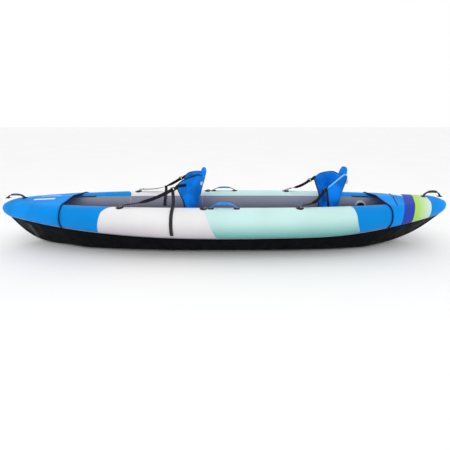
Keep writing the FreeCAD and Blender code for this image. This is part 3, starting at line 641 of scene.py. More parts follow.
PIPING_RADIUS = 0.0052
navy = Finish("navy_binding", (0.002, 0.010, 0.070), 0.6, Specular_IOR_Level=0.2)
navy.tone((0.004, 0.014, 0.085), 0.3, 30.0).weave(0.0022, 0.0003)
for end_name, end in (("bow", -1), ("stern", 1)):
    columns = deck_columns()
    line = [deck_point(end, column, -0.004, STARBOARD, 0.005) for column in columns]
    back = [deck_point(end, column, -0.004, PORT, 0.005) for column in reversed(columns[:-1])]
    path = line + back
    lengthwise = [Vector((1, 0, 0))] * len(path)
    rope = swept(f"{end_name}_piping", path, round_outline(PIPING_RADIUS), lengthwise)
    dress(rope, navy, "root", f"{end_name}_deck_piping")

WELT_RIDGE = 1.572
WELT_SLANT = 0.37
welt_columns = [(side, column) for side in (STARBOARD, PORT) for column in deck_columns()[DECK_TURNS - 3:]]
welt_path = []
for side, column in welt_columns[:DECK_FLATS + 4] + welt_columns[DECK_FLATS + 4:-1][::-1]:
    x = WELT_RIDGE
    for attempt in range(4):
        edge = deck_edge(1, 0.0) - (0.010 * column[1] if column[0] == "flat" else 0.0)
        t = (x - edge) / (TIP * 0.9992 - edge)
        point = deck_point(1, column, t, side, 0.004)
        point.y = side * abs(point.y)
        x = WELT_RIDGE + WELT_SLANT * point.y
    welt_path.append(point)
welt = swept("stern_deck_welt", welt_path, round_outline(0.0032), [Vector((1, 0, 0))] * len(welt_path))
dress(welt, navy, "root")

# ---- Hook-and-loop strips ------------------------------------------------------------------------
# Four strips of black hook tape are sewn to the tubes' inner shoulders beside the decks, to close a
# splash cover onto.

loop_tape = Finish("hook_tape", (0.012, 0.012, 0.015), 0.85, Sheen_Weight=0.3)
loop_tape.tone((0.014, 0.014, 0.018), 0.4, 60.0).grain(1400.0, 1.0, 0.0008)
for end in (-1, 1):
    for side_name, side in SIDES.items():
        xs = [end * (1.262 + 0.150 * k / 10) for k in range(11)]
        path = [on_tube(x, side, -38, 0.003) for x in xs]
        around = [on_tube(x, side, -34) - on_tube(x, side, -42) for x in xs]
        name = f"{'bow' if end < 0 else 'stern'}_{side_name}_hook_tape"
        strip = swept(name, path, flat_outline(0.016, 0.0022), around)
        dress(strip, loop_tape, "root")
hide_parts("fastening_strips")

# ---- Welded patches on the hull ------------------------------------------------------------------
# A square of the same black skin is glued on each side of the bow, where the boat is dragged ashore.

WEAR_FROM, WEAR_TO = -1.795, -1.745
worn = Finish("worn_black_patch", (0.013, 0.013, 0.015), 0.6, Specular_IOR_Level=0.3)
worn.tone((0.014, 0.014, 0.016), 0.35, 25.0).grain(300.0, 2.0, 0.0003)
for side_name, side in SIDES.items():
    wear_xs = [WEAR_FROM + (WEAR_TO - WEAR_FROM) * k / 6 for k in range(7)]
    rows = []
    for x in wear_xs:
        line = hull_line(x, -0.0015)[1:12]
        rows.append([Vector((p.x, side * p.y, p.z)) for p in line])
    patch = grid(f"bow_{side_name}_wear_patch", rows, wear_xs, [k * 0.01 for k in range(12)])
    body = patch.modifiers.new("skin", "SOLIDIFY")
    body.thickness = 0.0015
    dress(patch, worn, "root")

# ---- Seat cushions -------------------------------------------------------------------------------
# Each seat has a foam cushion in a charcoal cover. Two seams sewn through it make three pads, and a
# blue cord is sewn round its top edge. It lies on the floor chamber.


def puff(piece, voxel, pressure, limit):
    """Fill a padded piece: remesh it, blow it up as cloth, and move no point further than limit."""
    remesh = piece.modifiers.new("remesh", "REMESH")
    remesh.mode = "VOXEL"
    remesh.voxel_size = voxel
    settle(piece)
    start = [vertex.co.copy() for vertex in piece.data.vertices]
    filled = piece.modifiers.new("filling", "CLOTH")
    filled.settings.use_pressure = True
    filled.settings.uniform_pressure_force = pressure
    filled.settings.effector_weights.gravity = 0.0
    filled.settings.quality = 4
    filled.settings.tension_stiffness = 20
    filled.settings.compression_stiffness = 20
    filled.point_cache.frame_start = 1
    filled.point_cache.frame_end = 20
    for frame_number in range(1, 21):
        scene.frame_set(frame_number)
    settle(piece)
    scene.frame_set(1)
    for vertex, place in zip(piece.data.vertices, start):
        moved = vertex.co - place
        if moved.length > limit:
            vertex.co = place + moved * (limit / moved.length)
    finer = piece.modifiers.new("finer", "SUBSURF")
    finer.levels = finer.render_levels = 1


def settle(piece):
    """Replace a piece's mesh with what its modifiers make of it."""
    bpy.context.view_layer.update()
    made = bpy.data.meshes.new_from_object(piece.evaluated_get(bpy.context.evaluated_depsgraph_get()))
    piece.modifiers.clear()
    piece.data = made
    made.polygons.foreach_set("use_smooth", [True] * len(made.polygons))


def power(value, exponent):
    """value to a power, with its sign kept."""
    return math.copysign(abs(value) ** exponent, value)


CUSHION_SEAMS = (-0.065, 0.075)
CUSHION_SEAM_DEPTH = 0.010


def cushion_point(low, high, share, angle):
    """A point on a cushion: share runs from front to back, angle round its section."""
    middle = (low + high) / 2
    length, width, thick = high - low
    end = (1 - abs(2 * share - 1) ** 7) ** (1 / 3.2)
    out = width / 2 * (0.80 + 0.20 * end) * power(math.cos(angle), 0.45)
    x = low.x + length * share
    rise = thick / 2 * max(end, 0.06) * power(math.sin(angle), 0.55)
    crown = 1.0 - 0.10 * (2 * out / width) ** 2
    z = middle.z + rise * (crown if rise > 0 else 1.0)
    if rise > 0:
        for seam in CUSHION_SEAMS:
            dip = math.exp(-(((x - middle.x) - seam) / 0.010) ** 2)
            z -= CUSHION_SEAM_DEPTH * dip * min(1.0, rise / (thick * 0.3))
    return Vector((x, out, z))


charcoal = Finish(
    "charcoal_cushion_cloth", (0.022, 0.022, 0.026), 0.85, Sheen_Weight=0.25, Sheen_Roughness=0.5)
charcoal.tone((0.024, 0.024, 0.028), 0.3, 18.0).grain(700.0, 1.0, 0.0006).grain(22.0, 3.0, 0.003)
seat_blue = Finish("seat_cloth", (0.0, 0.200, 0.84), 0.62, Specular_IOR_Level=0.12)
seat_blue.tone((0.0, 0.210, 0.84), 0.35, 9.0)
place = seat_blue.nodes.new("ShaderNodeTexCoord").outputs["Object"]
split = seat_blue.nodes.new("ShaderNodeSeparateXYZ")
seat_blue.links.new(place, split.inputs[0])
THREAD_TURNS = 2 * math.pi / 0.0022
seat_along = seat_blue.sum("ADD", split.outputs[0], split.outputs[1])
warp = seat_blue.sum("SINE", seat_blue.sum("MULTIPLY", seat_along, THREAD_TURNS))
weft = seat_blue.sum("SINE", seat_blue.sum("MULTIPLY", split.outputs[2], THREAD_TURNS))
seat_blue.raise_by(seat_blue.sum("MULTIPLY", warp, weft), 0.0003)
seat_blue.grain(26.0, 3.0, 0.006)
for seat_name in ("front", "rear"):
    low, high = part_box(f"{seat_name}_seat_cushion")
    shares = [0.5 - 0.5 * math.cos(math.pi * k / 64) for k in range(65)]
    angles = [2 * math.pi * k / 48 for k in range(48)]
    rows = [[cushion_point(low, high, share, angle) for angle in angles] for share in shares]
    cushion = grid(f"{seat_name}_cushion", rows, shares, [k / 48 for k in range(49)], True, True)
    puff(cushion, 0.006, 3.0, 0.004)
    dress(cushion, charcoal, "root", f"{seat_name}_seat_cushion")
    rim = [cushion_point(low, high, share, math.radians(38)) for share in shares[3:-3]]
    rim += [Vector((p.x, -p.y, p.z)) for p in reversed(rim)]
    rim.append(rim[0])
    rim = [Vector((p.x, p.y, p.z + 0.002)) for p in rim]
    cord_trim = swept(f"{seat_name}_cushion_cord", rim, round_outline(0.0032, 8),
                      [Vector((0, 0, 1))] * len(rim))
    dress(cord_trim, seat_blue, "root")

# ---- Backrests -----------------------------------------------------------------------------------
# A backrest is one padded shell of blue cloth over foam: a panel with a rounded tab on top, and two
# wings that wrap forward round the paddler. Tape binds its edges, and it hinges at the cushion.

HINGE = {seat_name: joint_place(f"{seat_name}_backrest_recline") for seat_name in ("front", "rear")}
LEAN = {"front": 13.5, "rear": 10.5}
BACK_WIDTH = {"front": 0.280, "rear": 0.234}
WING_FLARE = math.radians(18)
WING_REACH = 0.172
# Each wing's lower and upper edge: (share of its reach, height) from the panel to the tip.
WING_LOW = [
    (0.0, 0.020), (0.20, 0.026), (0.28, 0.075), (0.45, 0.185), (0.72, 0.250), (0.93, 0.300), (1.0, 0.322)]
NEAR_HIGH = [(0.0, 0.456), (0.22, 0.440), (0.50, 0.412), (0.76, 0.384), (0.93, 0.352), (1.0, 0.330)]
FAR_HIGH = [(0.0, 0.430), (0.22, 0.422), (0.50, 0.406), (0.76, 0.384), (0.93, 0.354), (1.0, 0.330)]
FOLDED_LOW = [
    (0.0, 0.020), (0.20, 0.026), (0.28, 0.060), (0.45, 0.150), (0.72, 0.215), (0.93, 0.268), (1.0, 0.290)]
FOLDED_HIGH = [(0.0, 0.448), (0.22, 0.424), (0.50, 0.386), (0.76, 0.348), (0.93, 0.320), (1.0, 0.300)]
WINGS = {  # reach, lower edge, upper edge, how far the tip leans in
    ("front", PORT): (0.186, WING_LOW, NEAR_HIGH, 0.0),
    ("front", STARBOARD): (0.176, WING_LOW, FAR_HIGH, 0.0),
    ("rear", PORT): (0.142, FOLDED_LOW, FOLDED_HIGH, 0.030),
    ("rear", STARBOARD): (0.176, WING_LOW, FAR_HIGH, 0.0),
}


def between(table, value):
    """A value read off a table of (place, value) pairs."""
    for (low, first), (high, second) in zip(table, table[1:]):
        if value <= high:
            share = (value - low) / (high - low)
            return first + (second - first) * max(0.0, share)
    return table[-1][1]


def tipped(seat_name, point):
    """A point of a backrest's own frame, leaned back and put on its hinge."""
    return Matrix.Rotation(math.radians(LEAN[seat_name]), 3, "Y") @ point + HINGE[seat_name]


def back_columns(seat_name):
    """The shell's upright columns from the port wing's edge to the starboard wing's: the plan
    point, the low and high ends and the thickness."""
    corner = BACK_WIDTH[seat_name] / 2 - 0.006
    columns = []
    for side in (PORT, STARBOARD):
        reach, low_edge, high_edge, lean_in = WINGS[seat_name, side]
        shoulder = high_edge[0][1]
        way = Vector((-math.cos(WING_FLARE), math.sin(WING_FLARE), 0))
        half = []
        for k in range(15):
            y = (corner - 0.036) * k / 14
            tab = max(0.0, min(1.0, (0.054 - y) / 0.016))
            tab = tab * tab * (3 - 2 * tab)
            dome = 0.510 - 0.030 * (min(y, 0.046) / 0.046) ** 3
            top = shoulder - 0.010 + (0.443 - shoulder + 0.010) * (1 - y / (corner - 0.036))
            half.append((Vector((0.015, y, 0)), 0.014, top + (dome - top) * tab, 0.034))
        bend_from, bend = Vector((0.015, corner - 0.036, 0)), Vector((0.015, corner, 0))
        bend_to = bend + way * 0.036
        for k in range(1, 9):
            t = k / 8
            place = bend_from * (1 - t) ** 2 + bend * 2 * t * (1 - t) + bend_to * t * t
            half.append((place, 0.014 + 0.006 * t, shoulder - 0.010 + 0.010 * t, 0.034 - 0.014 * t))
        for k in range(1, 31):
            place = bend_to + way * ((reach - 0.030) * k / 30)
            share = k / 30
            place.y -= lean_in * share ** 2
            half.append((place, between(low_edge, share), between(high_edge, share), 0.020))
        stretch = [(Vector((place.x, side * place.y, 0)), *ends_and_thick) for place, *ends_and_thick in half]
        columns += stretch[::-1] if side == PORT else stretch[1:]
    return columns


def fold_depth(place, z):
    """Soft creases that fan out from the foot of each wing."""
    forward = max(0.0, 0.010 - place.x)
    turn = math.atan2(forward + 0.02, max(z - 0.02, 0.01))
    reach = min(1.0, forward / 0.05) * min(1.0, max(0.0, z - 0.03) / 0.1)
    drift = noise.noise(Vector((place.x * 9, z * 5, place.y * 4)))
    crease = abs(math.sin(turn * 9 + drift * 2.2)) ** 3
    fine = noise.noise(Vector((place.x * 18, place.y * 18, z * 12)))
    return reach * (0.0095 * crease - 0.003) + 0.002 * fine


def tucked(place, z):
    """A wing's foot tucks in a little, so that it clears the tubes when the backrest leans forward."""
    forward = min(1.0, max(0.0, 0.008 - place.x) / 0.12)
    low = min(1.0, max(0.0, 0.27 - z) / 0.12)
    return Vector((0, math.copysign(0.022 * forward * low, -place.y), 0))


def back_shell(seat_name):
    """The closed padded shell."""
    columns = back_columns(seat_name)
    steps = 44
    rows, along = [], []
    for number, (place, low, high, thick) in enumerate(columns):
        before, after = columns[max(number - 1, 0)][0], columns[min(number + 1, len(columns) - 1)][0]
        run = (after - before).normalized()
        outward = Vector((run.y, -run.x, 0))
        tall = high - low
        ring = []
        for face in (1, -1):
            for k in range(steps):
                t = (k + 0.5) / steps if face > 0 else 1 - (k + 0.5) / steps
                z = low + tall * t
                blunt = 14 if high > 0.462 else 4 + 90 * tall
                edge = (1 - abs(2 * t - 1) ** blunt) ** 0.5
                more = 0.012 * max(0.0, min(1.0, (z - 0.25) / 0.2)) * max(0.0, 1 - abs(place.y) / 0.13)
                half_thick = min(thick + more, 0.5 * tall + 0.006) / 2
                seam = 0.0
                if abs(place.y) < 0.12 and place.x > 0.008:
                    seam = 0.006 * math.exp(-((abs(place.y) - 0.052) / 0.005) ** 2)
                    seam += 0.005 * math.exp(-((z - 0.205) / 0.005) ** 2)
                    seam += 0.004 * math.exp(-((z - 0.425) / 0.005) ** 2)
                depth = (half_thick + more * 0.4 * face) * edge - seam + fold_depth(place, z) * edge
                spot = place + tucked(place, z) + outward * (face * depth) + Vector((0, 0, z))
                ring.append(tipped(seat_name, spot))
        rows.append(ring)
        along.append(number * 0.006)
    return grid(f"{seat_name}_back_shell", rows, along, [k * 0.005 for k in range(2 * steps + 1)], True, True)


black_tape = Finish("black_binding", (0.008, 0.008, 0.010), 0.6)
black_tape.tone((0.009, 0.009, 0.011), 0.3, 40.0).grain(900.0, 1.0, 0.0004)
# Painted highlight: the rear backrest's port top edge is bound in pale blue, standing in for light reflected
# along that edge; every other top edge is navy.
painted_highlight_tape = Finish("painted_highlight_binding", (0.22, 0.58, 0.86), 0.55)
painted_highlight_tape.tone((0.22, 0.58, 0.86), 0.15, 40.0).grain(900.0, 1.0, 0.0004)
for seat_name in ("front", "rear"):
    shell = back_shell(seat_name)
    puff(shell, 0.0045, 4.0, 0.0035)
    dress(shell, seat_blue, f"{seat_name}_back", f"{seat_name}_backrest")
    columns = back_columns(seat_name)
    wing_count = 31
    sections = {
        # the rear backrest's port top edge takes the pale painted highlight
        "port_top": (columns[:wing_count + 9], 2, painted_highlight_tape if seat_name == "rear" else navy, 0.0060),
        "starboard_top": (columns[-wing_count - 9:], 2, navy, 0.0052),
        "port_front": (columns[:wing_count - 2], 1, black_tape, 0.0072 if seat_name == "front" else 0.0115),
        "starboard_front": (columns[-wing_count + 2:], 1, black_tape, 0.0072),
    }
    for label, (stretch, end, finish, reach) in sections.items():
        inset = 0.004 if end == 1 else -0.004
        path = []
        for column in stretch:
            z = column[end] + inset
            path.append(tipped(seat_name, column[0] + tucked(column[0], z) + Vector((0, 0, z))))
        edge_tape = swept(f"{seat_name}_{label}_binding", path, round_outline(reach, 10),
                          [Vector((0, 1, 0.3))] * len(path))
        dress(edge_tape, finish, f"{seat_name}_back")

# Pale webbing tunnels sewn on the back of each backrest hold a stiffening rod and a spare strap.
grey_web = Finish("pale_grey_webbing", (0.55, 0.60, 0.66), 0.7)
grey_web.tone((0.55, 0.60, 0.66), 0.15, 60.0).grain(800.0, 1.0, 0.0005)
TUNNEL_HEIGHT, TUNNEL_WIDTH = 0.385, 0.030
for seat_name in ("front", "rear"):
    for side_name, side in SIDES.items():
        path = []
        for k in range(11):
            turn = math.radians(15 + 85 * k / 10)
            reach = 0.019 + 0.006 * math.sin(math.pi * k / 10)
            corner_y = BACK_WIDTH[seat_name] / 2 - 0.016 + reach * math.cos(turn)
            spot = Vector((0.014 + reach * math.sin(turn), side * corner_y, TUNNEL_HEIGHT))
            path.append(tipped(seat_name, spot))
        tunnel = swept(f"{seat_name}_{side_name}_tunnel_0", path, flat_outline(TUNNEL_WIDTH, 0.002),
                       [tipped(seat_name, Vector((0, 0, 1))) - tipped(seat_name, Vector())] * 11)
        dress(tunnel, grey_web, f"{seat_name}_back")

# ---- Ring patches, rings and snap hooks ----------------------------------------------------------
# A black patch is welded to the tube at each strap point. A folded keeper on it holds a welded wire
# ring, and a snap hook on the end of each seat strap clips round the ring.

RING_X = {"front": -0.875, "free": -0.168, "rear": 0.635}
PATCH_RADIUS = 0.034
RING_LIFT = 0.0085
# A patch in rings from its middle out: (share of its radius, height above the tube).
PATCH_RINGS = ((0.05, 0.0046), (0.5, 0.0044), (0.80, 0.0036), (0.90, 0.0030), (0.93, 0.0012), (1.0, 0.0010))
# The keeper's fold over the ring, from its bow end to its middle: (along, up).
KEEPER_FOLD = ((-0.016, 0.0050), (-0.009, 0.0056), (-0.005, 0.0105), (0, 0.0135))
rubber = Finish("black_patch", (0.012, 0.013, 0.015), 0.55)
rubber.tone((0.013, 0.014, 0.016), 0.35, 45.0).grain(500.0, 2.0, 0.0004)
first = None
for label, x in RING_X.items():
    for side_name, side in SIDES.items():
        centre = Vector((x, side * spacing(x), height(x)))
        rows = []
        for ring_share, lift in PATCH_RINGS:
            row = []
            for k in range(36):
                turn = 2 * math.pi * k / 36
                off_y = PATCH_RADIUS * ring_share * math.sin(turn)
                around = math.degrees(math.asin(off_y / radius(x)))
                row.append(on_tube(x + PATCH_RADIUS * ring_share * math.cos(turn), side, around, lift))
            rows.append(row)
        disc = grid(f"{label}_{side_name}_patch", rows, [k * 0.008 for k in range(6)],
                    [k * 0.006 for k in range(37)], True, True)
        dress(disc, rubber, "root")
        first = first or disc
        top = on_tube(x, side, 0)
        fold = list(KEEPER_FOLD) + [(-along, up) for along, up in reversed(KEEPER_FOLD[:-1])]
        path = [top + Vector((along, 0, up)) for along, up in fold]
        keeper = swept(f"{label}_{side_name}_keeper", path, flat_outline(0.020, 0.0022),
                       [Vector((0, 1, 0))] * len(path))
        dress(keeper, black_tape, "root")
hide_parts("ring_patches")

steel = Finish("ring_steel", (0.50, 0.50, 0.52), 0.32, Metallic=1.0)
steel.tone((0.48, 0.48, 0.50), 0.25, 80.0).grain(900.0, 1.0, 0.0001)
hook_plastic = Finish("black_acetal", (0.010, 0.010, 0.011), 0.38)
hook_plastic.tone((0.011, 0.011, 0.012), 0.3, 60.0).grain(700.0, 1.0, 0.0001)
finished = {node: steel for node in ("strap_rings", "port_free_ring", "starboard_free_ring")}
finished["snap_hooks"] = hook_plastic

# ---- Seat straps and buckles ---------------------------------------------------------------------
# Each seat is held by two straps of 28 mm black webbing. A strap is sewn to its snap hook, twists a
# quarter turn on its way, and threads a ladder-lock buckle whose short end is sewn to the wing.

WEBBING = 0.028
RING_BOW = 0.018
RING_TILT = math.radians(25)
BUCKLE_BACK = 0.072
HOOK_REACH = 0.034
STRAP_SAG = {
    ("front", "port"): 0.026, ("front", "starboard"): 0.038,
    ("rear", "port"): 0.040, ("rear", "starboard"): 0.016,
}
STRAP_TWIST = {
    ("front", "port"): 0.22, ("front", "starboard"): 0.50,
    ("rear", "port"): 0.30, ("rear", "starboard"): 0.10,
}
# The buckle's cross bars and the short end's places on the wing.
BUCKLE_BARS = ((-0.0145, 0.0050, 0.0060), (0.0, 0.0062, 0.0050), (0.0145, 0.0050, 0.0060))
SHORT_END = ((1.0, 0.021, 0.0), (0.84, 0.0190, 0.006), (0.70, 0.0185, 0.014), (0.58, 0.0185, 0.022))
webbing = Finish("black_webbing", (0.006, 0.006, 0.008), 0.7, Specular_IOR_Level=0.25)
webbing.tone((0.006, 0.006, 0.008), 0.35, 50.0).weave(0.0026, 0.0006)


def strap_ends(seat_name, side):
    """Where a strap meets its ring, and the point off the wing that it is pulled towards."""
    x = RING_X[seat_name]
    pivot = on_tube(x, side, 0) + Vector((0, 0, RING_LIFT))
    start = pivot + Vector((math.cos(RING_TILT), 0, math.sin(RING_TILT))) * RING_BOW
    reach = 0.86 * WING_REACH
    out = BACK_WIDTH[seat_name] / 2 - 0.004 + reach * math.sin(WING_FLARE) + 0.028
    stop = tipped(seat_name, Vector((0.008 - reach * math.cos(WING_FLARE), side * out, 0.334)))
    return start, stop


def level_across(way):
    """The level direction across a strap that runs along way."""
    return Vector((0, 0, 1)).cross(way).normalized()


def on_wing(seat_name, side, share, lift, z):
    """A point off a wing's outer face: share runs from the panel to the tip."""
    reach, _, _, lean_in = WINGS[seat_name, side]
    forward = share * reach
    out = BACK_WIDTH[seat_name] / 2 - 0.006 + forward * math.sin(WING_FLARE) + lift - lean_in * share ** 2
    return tipped(seat_name, Vector((0.012 - forward * math.cos(WING_FLARE), side * out, z)))


for seat_name in ("front", "rear"):
    for side_name, side in SIDES.items():
        start, stop = strap_ends(seat_name, side)
        way = (stop - start).normalized()
        long = (stop - start).length
        run = long - HOOK_REACH - BUCKLE_BACK
        level = level_across(way)
        upward = way.cross(level)
        path, across = [], []
        for k in range(41):
            share = k / 40
            sag = STRAP_SAG[seat_name, side_name] * math.sin(math.pi * share)
            path.append(start + way * (HOOK_REACH - 0.010 + (run + 0.014) * share) - upward * sag)
            turn = max(0.0, min(1.0, (share - STRAP_TWIST[seat_name, side_name]) / 0.28))
            turn = math.radians(78) * turn * turn * (3 - 2 * turn) * -side
            across.append(level * math.cos(turn) + upward * math.sin(turn))
        strap = swept(f"{seat_name}_{side_name}_strap_web", path, flat_outline(WEBBING, 0.0022), across)
        strap.data.materials.append(webbing.material)
        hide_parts(f"{seat_name}_{side_name}_strap")
        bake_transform(strap)

        # the buckle stands on edge, with the webbing doubled back through its two slots
        flat, up = across[-1], way.cross(across[-1])
        middle = start + way * (long - BUCKLE_BACK)
        bars = []
        for offset, wide, deep in BUCKLE_BARS:
            bar_path = [middle + way * offset + flat * (0.017 * (k / 4 - 1)) for k in range(9)]
            bars.append((bar_path, wide, deep))
        for lean in (-1, 1):
            bar_path = [middle + flat * (0.0165 * lean) + way * (0.0165 * (k / 4 - 1)) for k in range(9)]
            bars.append((bar_path, 0.0050, 0.0060))
        for number, (bar_path, wide, deep) in enumerate(bars):
            bar = swept(f"{seat_name}_{side_name}_buckle_bar_{number}", bar_path, flat_outline(wide, deep),
                        [way if number < 3 else flat] * len(bar_path))
            dress(bar, hook_plastic, f"{seat_name}_back")

        # the short end: from the buckle on to the wing's face
        begin = middle + way * 0.010
        bends = [begin, begin + way * 0.022]
        sewn = 0.300 if seat_name == "rear" and side == PORT else 0.332
        face = -1 if seat_name == "rear" and side == PORT else 1
        for share, lift, rise in SHORT_END:
            bends.append(on_wing(seat_name, side, share, face * lift, sewn + rise))
        upright = tipped(seat_name, Vector((0, 0, 1))) - tipped(seat_name, Vector())
        turns = [flat, flat, upright, upright, upright, upright]
        if flat.dot(upright) < 0:
            turns[:2] = [-flat, -flat]
        path, across = [], []
        for first_bend, second_bend, first_turn, second_turn in zip(bends, bends[1:], turns, turns[1:]):
            for k in range(6):
                path.append(first_bend.lerp(second_bend, k / 6))
                across.append(first_turn.lerp(second_turn, k / 6))
        for smoothing in range(3):
            path = [path[0]] + [(a + b * 2 + c) / 4 for a, b, c in zip(path, path[1:], path[2:])] + [path[-1]]
        short_end = swept(f"{seat_name}_{side_name}_anchor_web", path, flat_outline(WEBBING, 0.0030), across)
        dress(short_end, webbing, f"{seat_name}_back")
    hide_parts(f"{seat_name}_buckles")

# ---- Strap tails ---------------------------------------------------------------------------------
# The two front straps have loose ends. The port one hangs from its buckle, over the tube and down its
# outer side. The starboard one leaves its strap part-way and falls inside the cockpit. Both are limp.


def limp_line(name, controls):
    """Points along one smooth spline that its control points pull into shape."""
    curve = bpy.data.curves.new(name, "CURVE")
    curve.dimensions = "3D"
    spline = curve.splines.new("NURBS")
    spline.points.add(len(controls) - 1)
    for place, point in zip(controls, spline.points):
        point.co = (*place, 1)
    spline.order_u = 3
    spline.use_endpoint_u = True
    spline.resolution_u = 8
    holder = bpy.data.objects.new(name, curve)
    mesh = bpy.data.meshes.new_from_object(holder)
    points = [vertex.co.copy() for vertex in mesh.vertices]
    bpy.data.objects.remove(holder)
    bpy.data.meshes.remove(mesh)
    bpy.data.curves.remove(curve)
    return points


TAIL_GREY = (0.030, 0.030, 0.034)
tail_cloth = Finish("charcoal_webbing", TAIL_GREY, 0.8, Specular_IOR_Level=0.25)
tail_cloth.tone(TAIL_GREY, 0.3, 50.0).weave(0.0026, 0.0006)
TAIL_ROUTES = {
    "port": [
        (-0.4310, -0.2186, 0.5610), (-0.4290, -0.2240, 0.5230), (-0.4270, -0.2370, 0.4700),
        (-0.4260, -0.2560, 0.4480), (-0.4255, -0.2900, 0.4330), (-0.4250, -0.3434, 0.4219),
        (-0.4250, -0.4008, 0.3786), (-0.4250, -0.4290, 0.3123), (-0.4250, -0.4219, 0.2455),
        (-0.4250, -0.4054, 0.2217),
    ],
    "starboard": [
        (-0.5837, 0.2363, 0.4900), (-0.5840, 0.2355, 0.4680), (-0.5860, 0.2300, 0.4350),
        (-0.5880, 0.2025, 0.4030), (-0.5900, 0.1660, 0.3595), (-0.5920, 0.1513, 0.3144),
        (-0.5930, 0.1548, 0.3046),
    ],
}
for side_name, route in TAIL_ROUTES.items():
    side = SIDES[side_name]
    path = limp_line(f"{side_name}_tail_line", route)
    tail = swept(f"{side_name}_strap_tail", path, flat_outline(WEBBING, 0.0022),
                 [Vector((1, 0, 0))] * len(path))
    tail.data.materials.append(tail_cloth.material)
    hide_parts(f"front_{side_name}_strap_tail")
    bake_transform(tail)

# ---- Carry handles -------------------------------------------------------------------------------
# A handle is a loop of flat webbing run through a padded sleeve, with its ends sewn under two welded
# feet. It stands on its own and folds flat either way.

blue_sleeve = Finish("bright_blue_sleeve", (0.0, 0.25, 0.85), 0.5)
blue_sleeve.tone((0.0, 0.26, 0.85), 0.25, 30.0).grain(600.0, 1.0, 0.0005)
teal_sleeve = Finish("teal_sleeve", (0.03, 0.25, 0.32), 0.5)
teal_sleeve.tone((0.03, 0.26, 0.33), 0.25, 30.0).grain(600.0, 1.0, 0.0005)
navy_sleeve = Finish("glossy_navy_sleeve", (0.006, 0.012, 0.035), 0.22)
navy_sleeve.tone((0.006, 0.012, 0.035), 0.3, 30.0).grain(500.0, 1.0, 0.0002)
loop_blue = Finish("deep_blue_sleeve", (0.004, 0.075, 0.30), 0.5)
loop_blue.tone((0.004, 0.080, 0.31), 0.3, 30.0).grain(600.0, 1.0, 0.0005)
HANDLE_WEB = 0.024
# A foot in rings from its middle out: (share of its size, height above the tube).
FOOT_RINGS = ((0.05, 0.0050), (0.6, 0.0048), (0.84, 0.0042), (0.92, 0.0032), (0.94, 0.0012), (1.0, 0.0010))
# span, rise, grip length, sleeve radius, sleeve finish, leg finish
HANDLES = {
    "port": (0.208, 0.040, 0.116, 0.0105, blue_sleeve, blue_sleeve),
    "starboard": (0.208, 0.032, 0.116, 0.0085, teal_sleeve, webbing),
    "bow": (0.150, 0.032, 0.080, 0.0095, loop_blue, navy),
    "stern": (0.150, 0.046, 0.080, 0.0122, navy_sleeve, navy_sleeve),
}


def arch_point(x, span, tall):
    """The middle of a handle's webbing over a place along it, from the foot's level."""
    return max(0.0, 1 - abs(2 * x / span) ** 2.6) ** 0.75 * (tall - 0.004) + 0.002


def foot_pad(name, points, columns):
    """A welded foot: a shallow pad from rows of points that lie on the surface under it."""
    pad = grid(name, points, [k * 0.006 for k in range(len(points))],
               [k * 0.006 for k in range(columns + 1)], True, True)
    dress(pad, rubber, "root")
    return pad


first_foot = None
for label, (span, tall, grip, reach, sleeve_finish, leg_finish) in HANDLES.items():
    origin = joint_place(f"{label}_handle_fold")
    body_name = f"{label}_handle"
    inner = grip / 2
    path = []
    for k in range(33):
        x = -inner + grip * k / 32
        path.append(origin + Vector((x, 0, arch_point(x, span, tall))))
    rows = []
    for number, place in enumerate(path):
        before, after = path[max(number - 1, 0)], path[min(number + 1, 32)]
        along_way = (after - before).normalized()
        lift_way = Vector((-along_way.z, 0, along_way.x))
        share = abs(number - 16) / 16
        plump = reach * (1.0 - 0.28 * share ** 6) * (1 + 0.02 * math.cos(number * 1.9))
        turns = [2 * math.pi * k / 20 for k in range(20)]
        wide = [Vector((0, 1, 0)) * (plump * 1.05 * math.cos(a)) for a in turns]
        rows.append([place + flat + lift_way * (plump * math.sin(a)) for flat, a in zip(wide, turns)])
    sleeve = grid(f"{label}_handle_sleeve", rows, [k * grip / 32 for k in range(33)],
                  [k * 0.0035 for k in range(21)], True, True)
    dress(sleeve, sleeve_finish, body_name, f"{label}_handle_grip")
    for end in (-1, 1):
        x_from, x_to = end * (span / 2 + 0.012), end * (inner - 0.012)
        leg_path = []
        for k in range(15):
            x = x_from + (x_to - x_from) * k / 14
            leg_path.append(origin + Vector((x, 0, arch_point(x, span, tall) + 0.0008)))
        leg_thickness = 0.0026 if label in SIDES else 0.0065
        leg = swept(f"{label}_handle_leg_{'bow' if end < 0 else 'stern'}", leg_path,
                    flat_outline(HANDLE_WEB, leg_thickness), [Vector((0, 1, 0))] * 15)
        leg.data.materials.append(leg_finish.material)
        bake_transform(leg)
        if end < 0:
            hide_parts(f"{label}_handle_webbing")
        if label in SIDES:
            side = SIDES[label]
            rows = []
            for ring_share, lift in FOOT_RINGS:
                row = []
                for k in range(40):
                    turn = 2 * math.pi * k / 40
                    out = 0.022 * ring_share * power(math.sin(turn), 0.5)
                    x = origin.x + end * (span / 2 + 0.004) + 0.026 * ring_share * power(math.cos(turn), 0.5)
                    row.append(on_tube(x, side, math.degrees(math.asin(out / radius(x))), lift))
                rows.append(row)
            foot = foot_pad(f"{label}_handle_foot_{'bow' if end < 0 else 'stern'}", rows, 40)
            first_foot = first_foot or foot
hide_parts("side_handle_patches")
finished["end_handle_patches"] = rubber

# ---- Inflation valves ----------------------------------------------------------------------------
# Each chamber fills through a push-and-twist valve: a welded skirt with a threaded body, a spring
# plunger in its bore, and a ribbed cap with a finger bar.

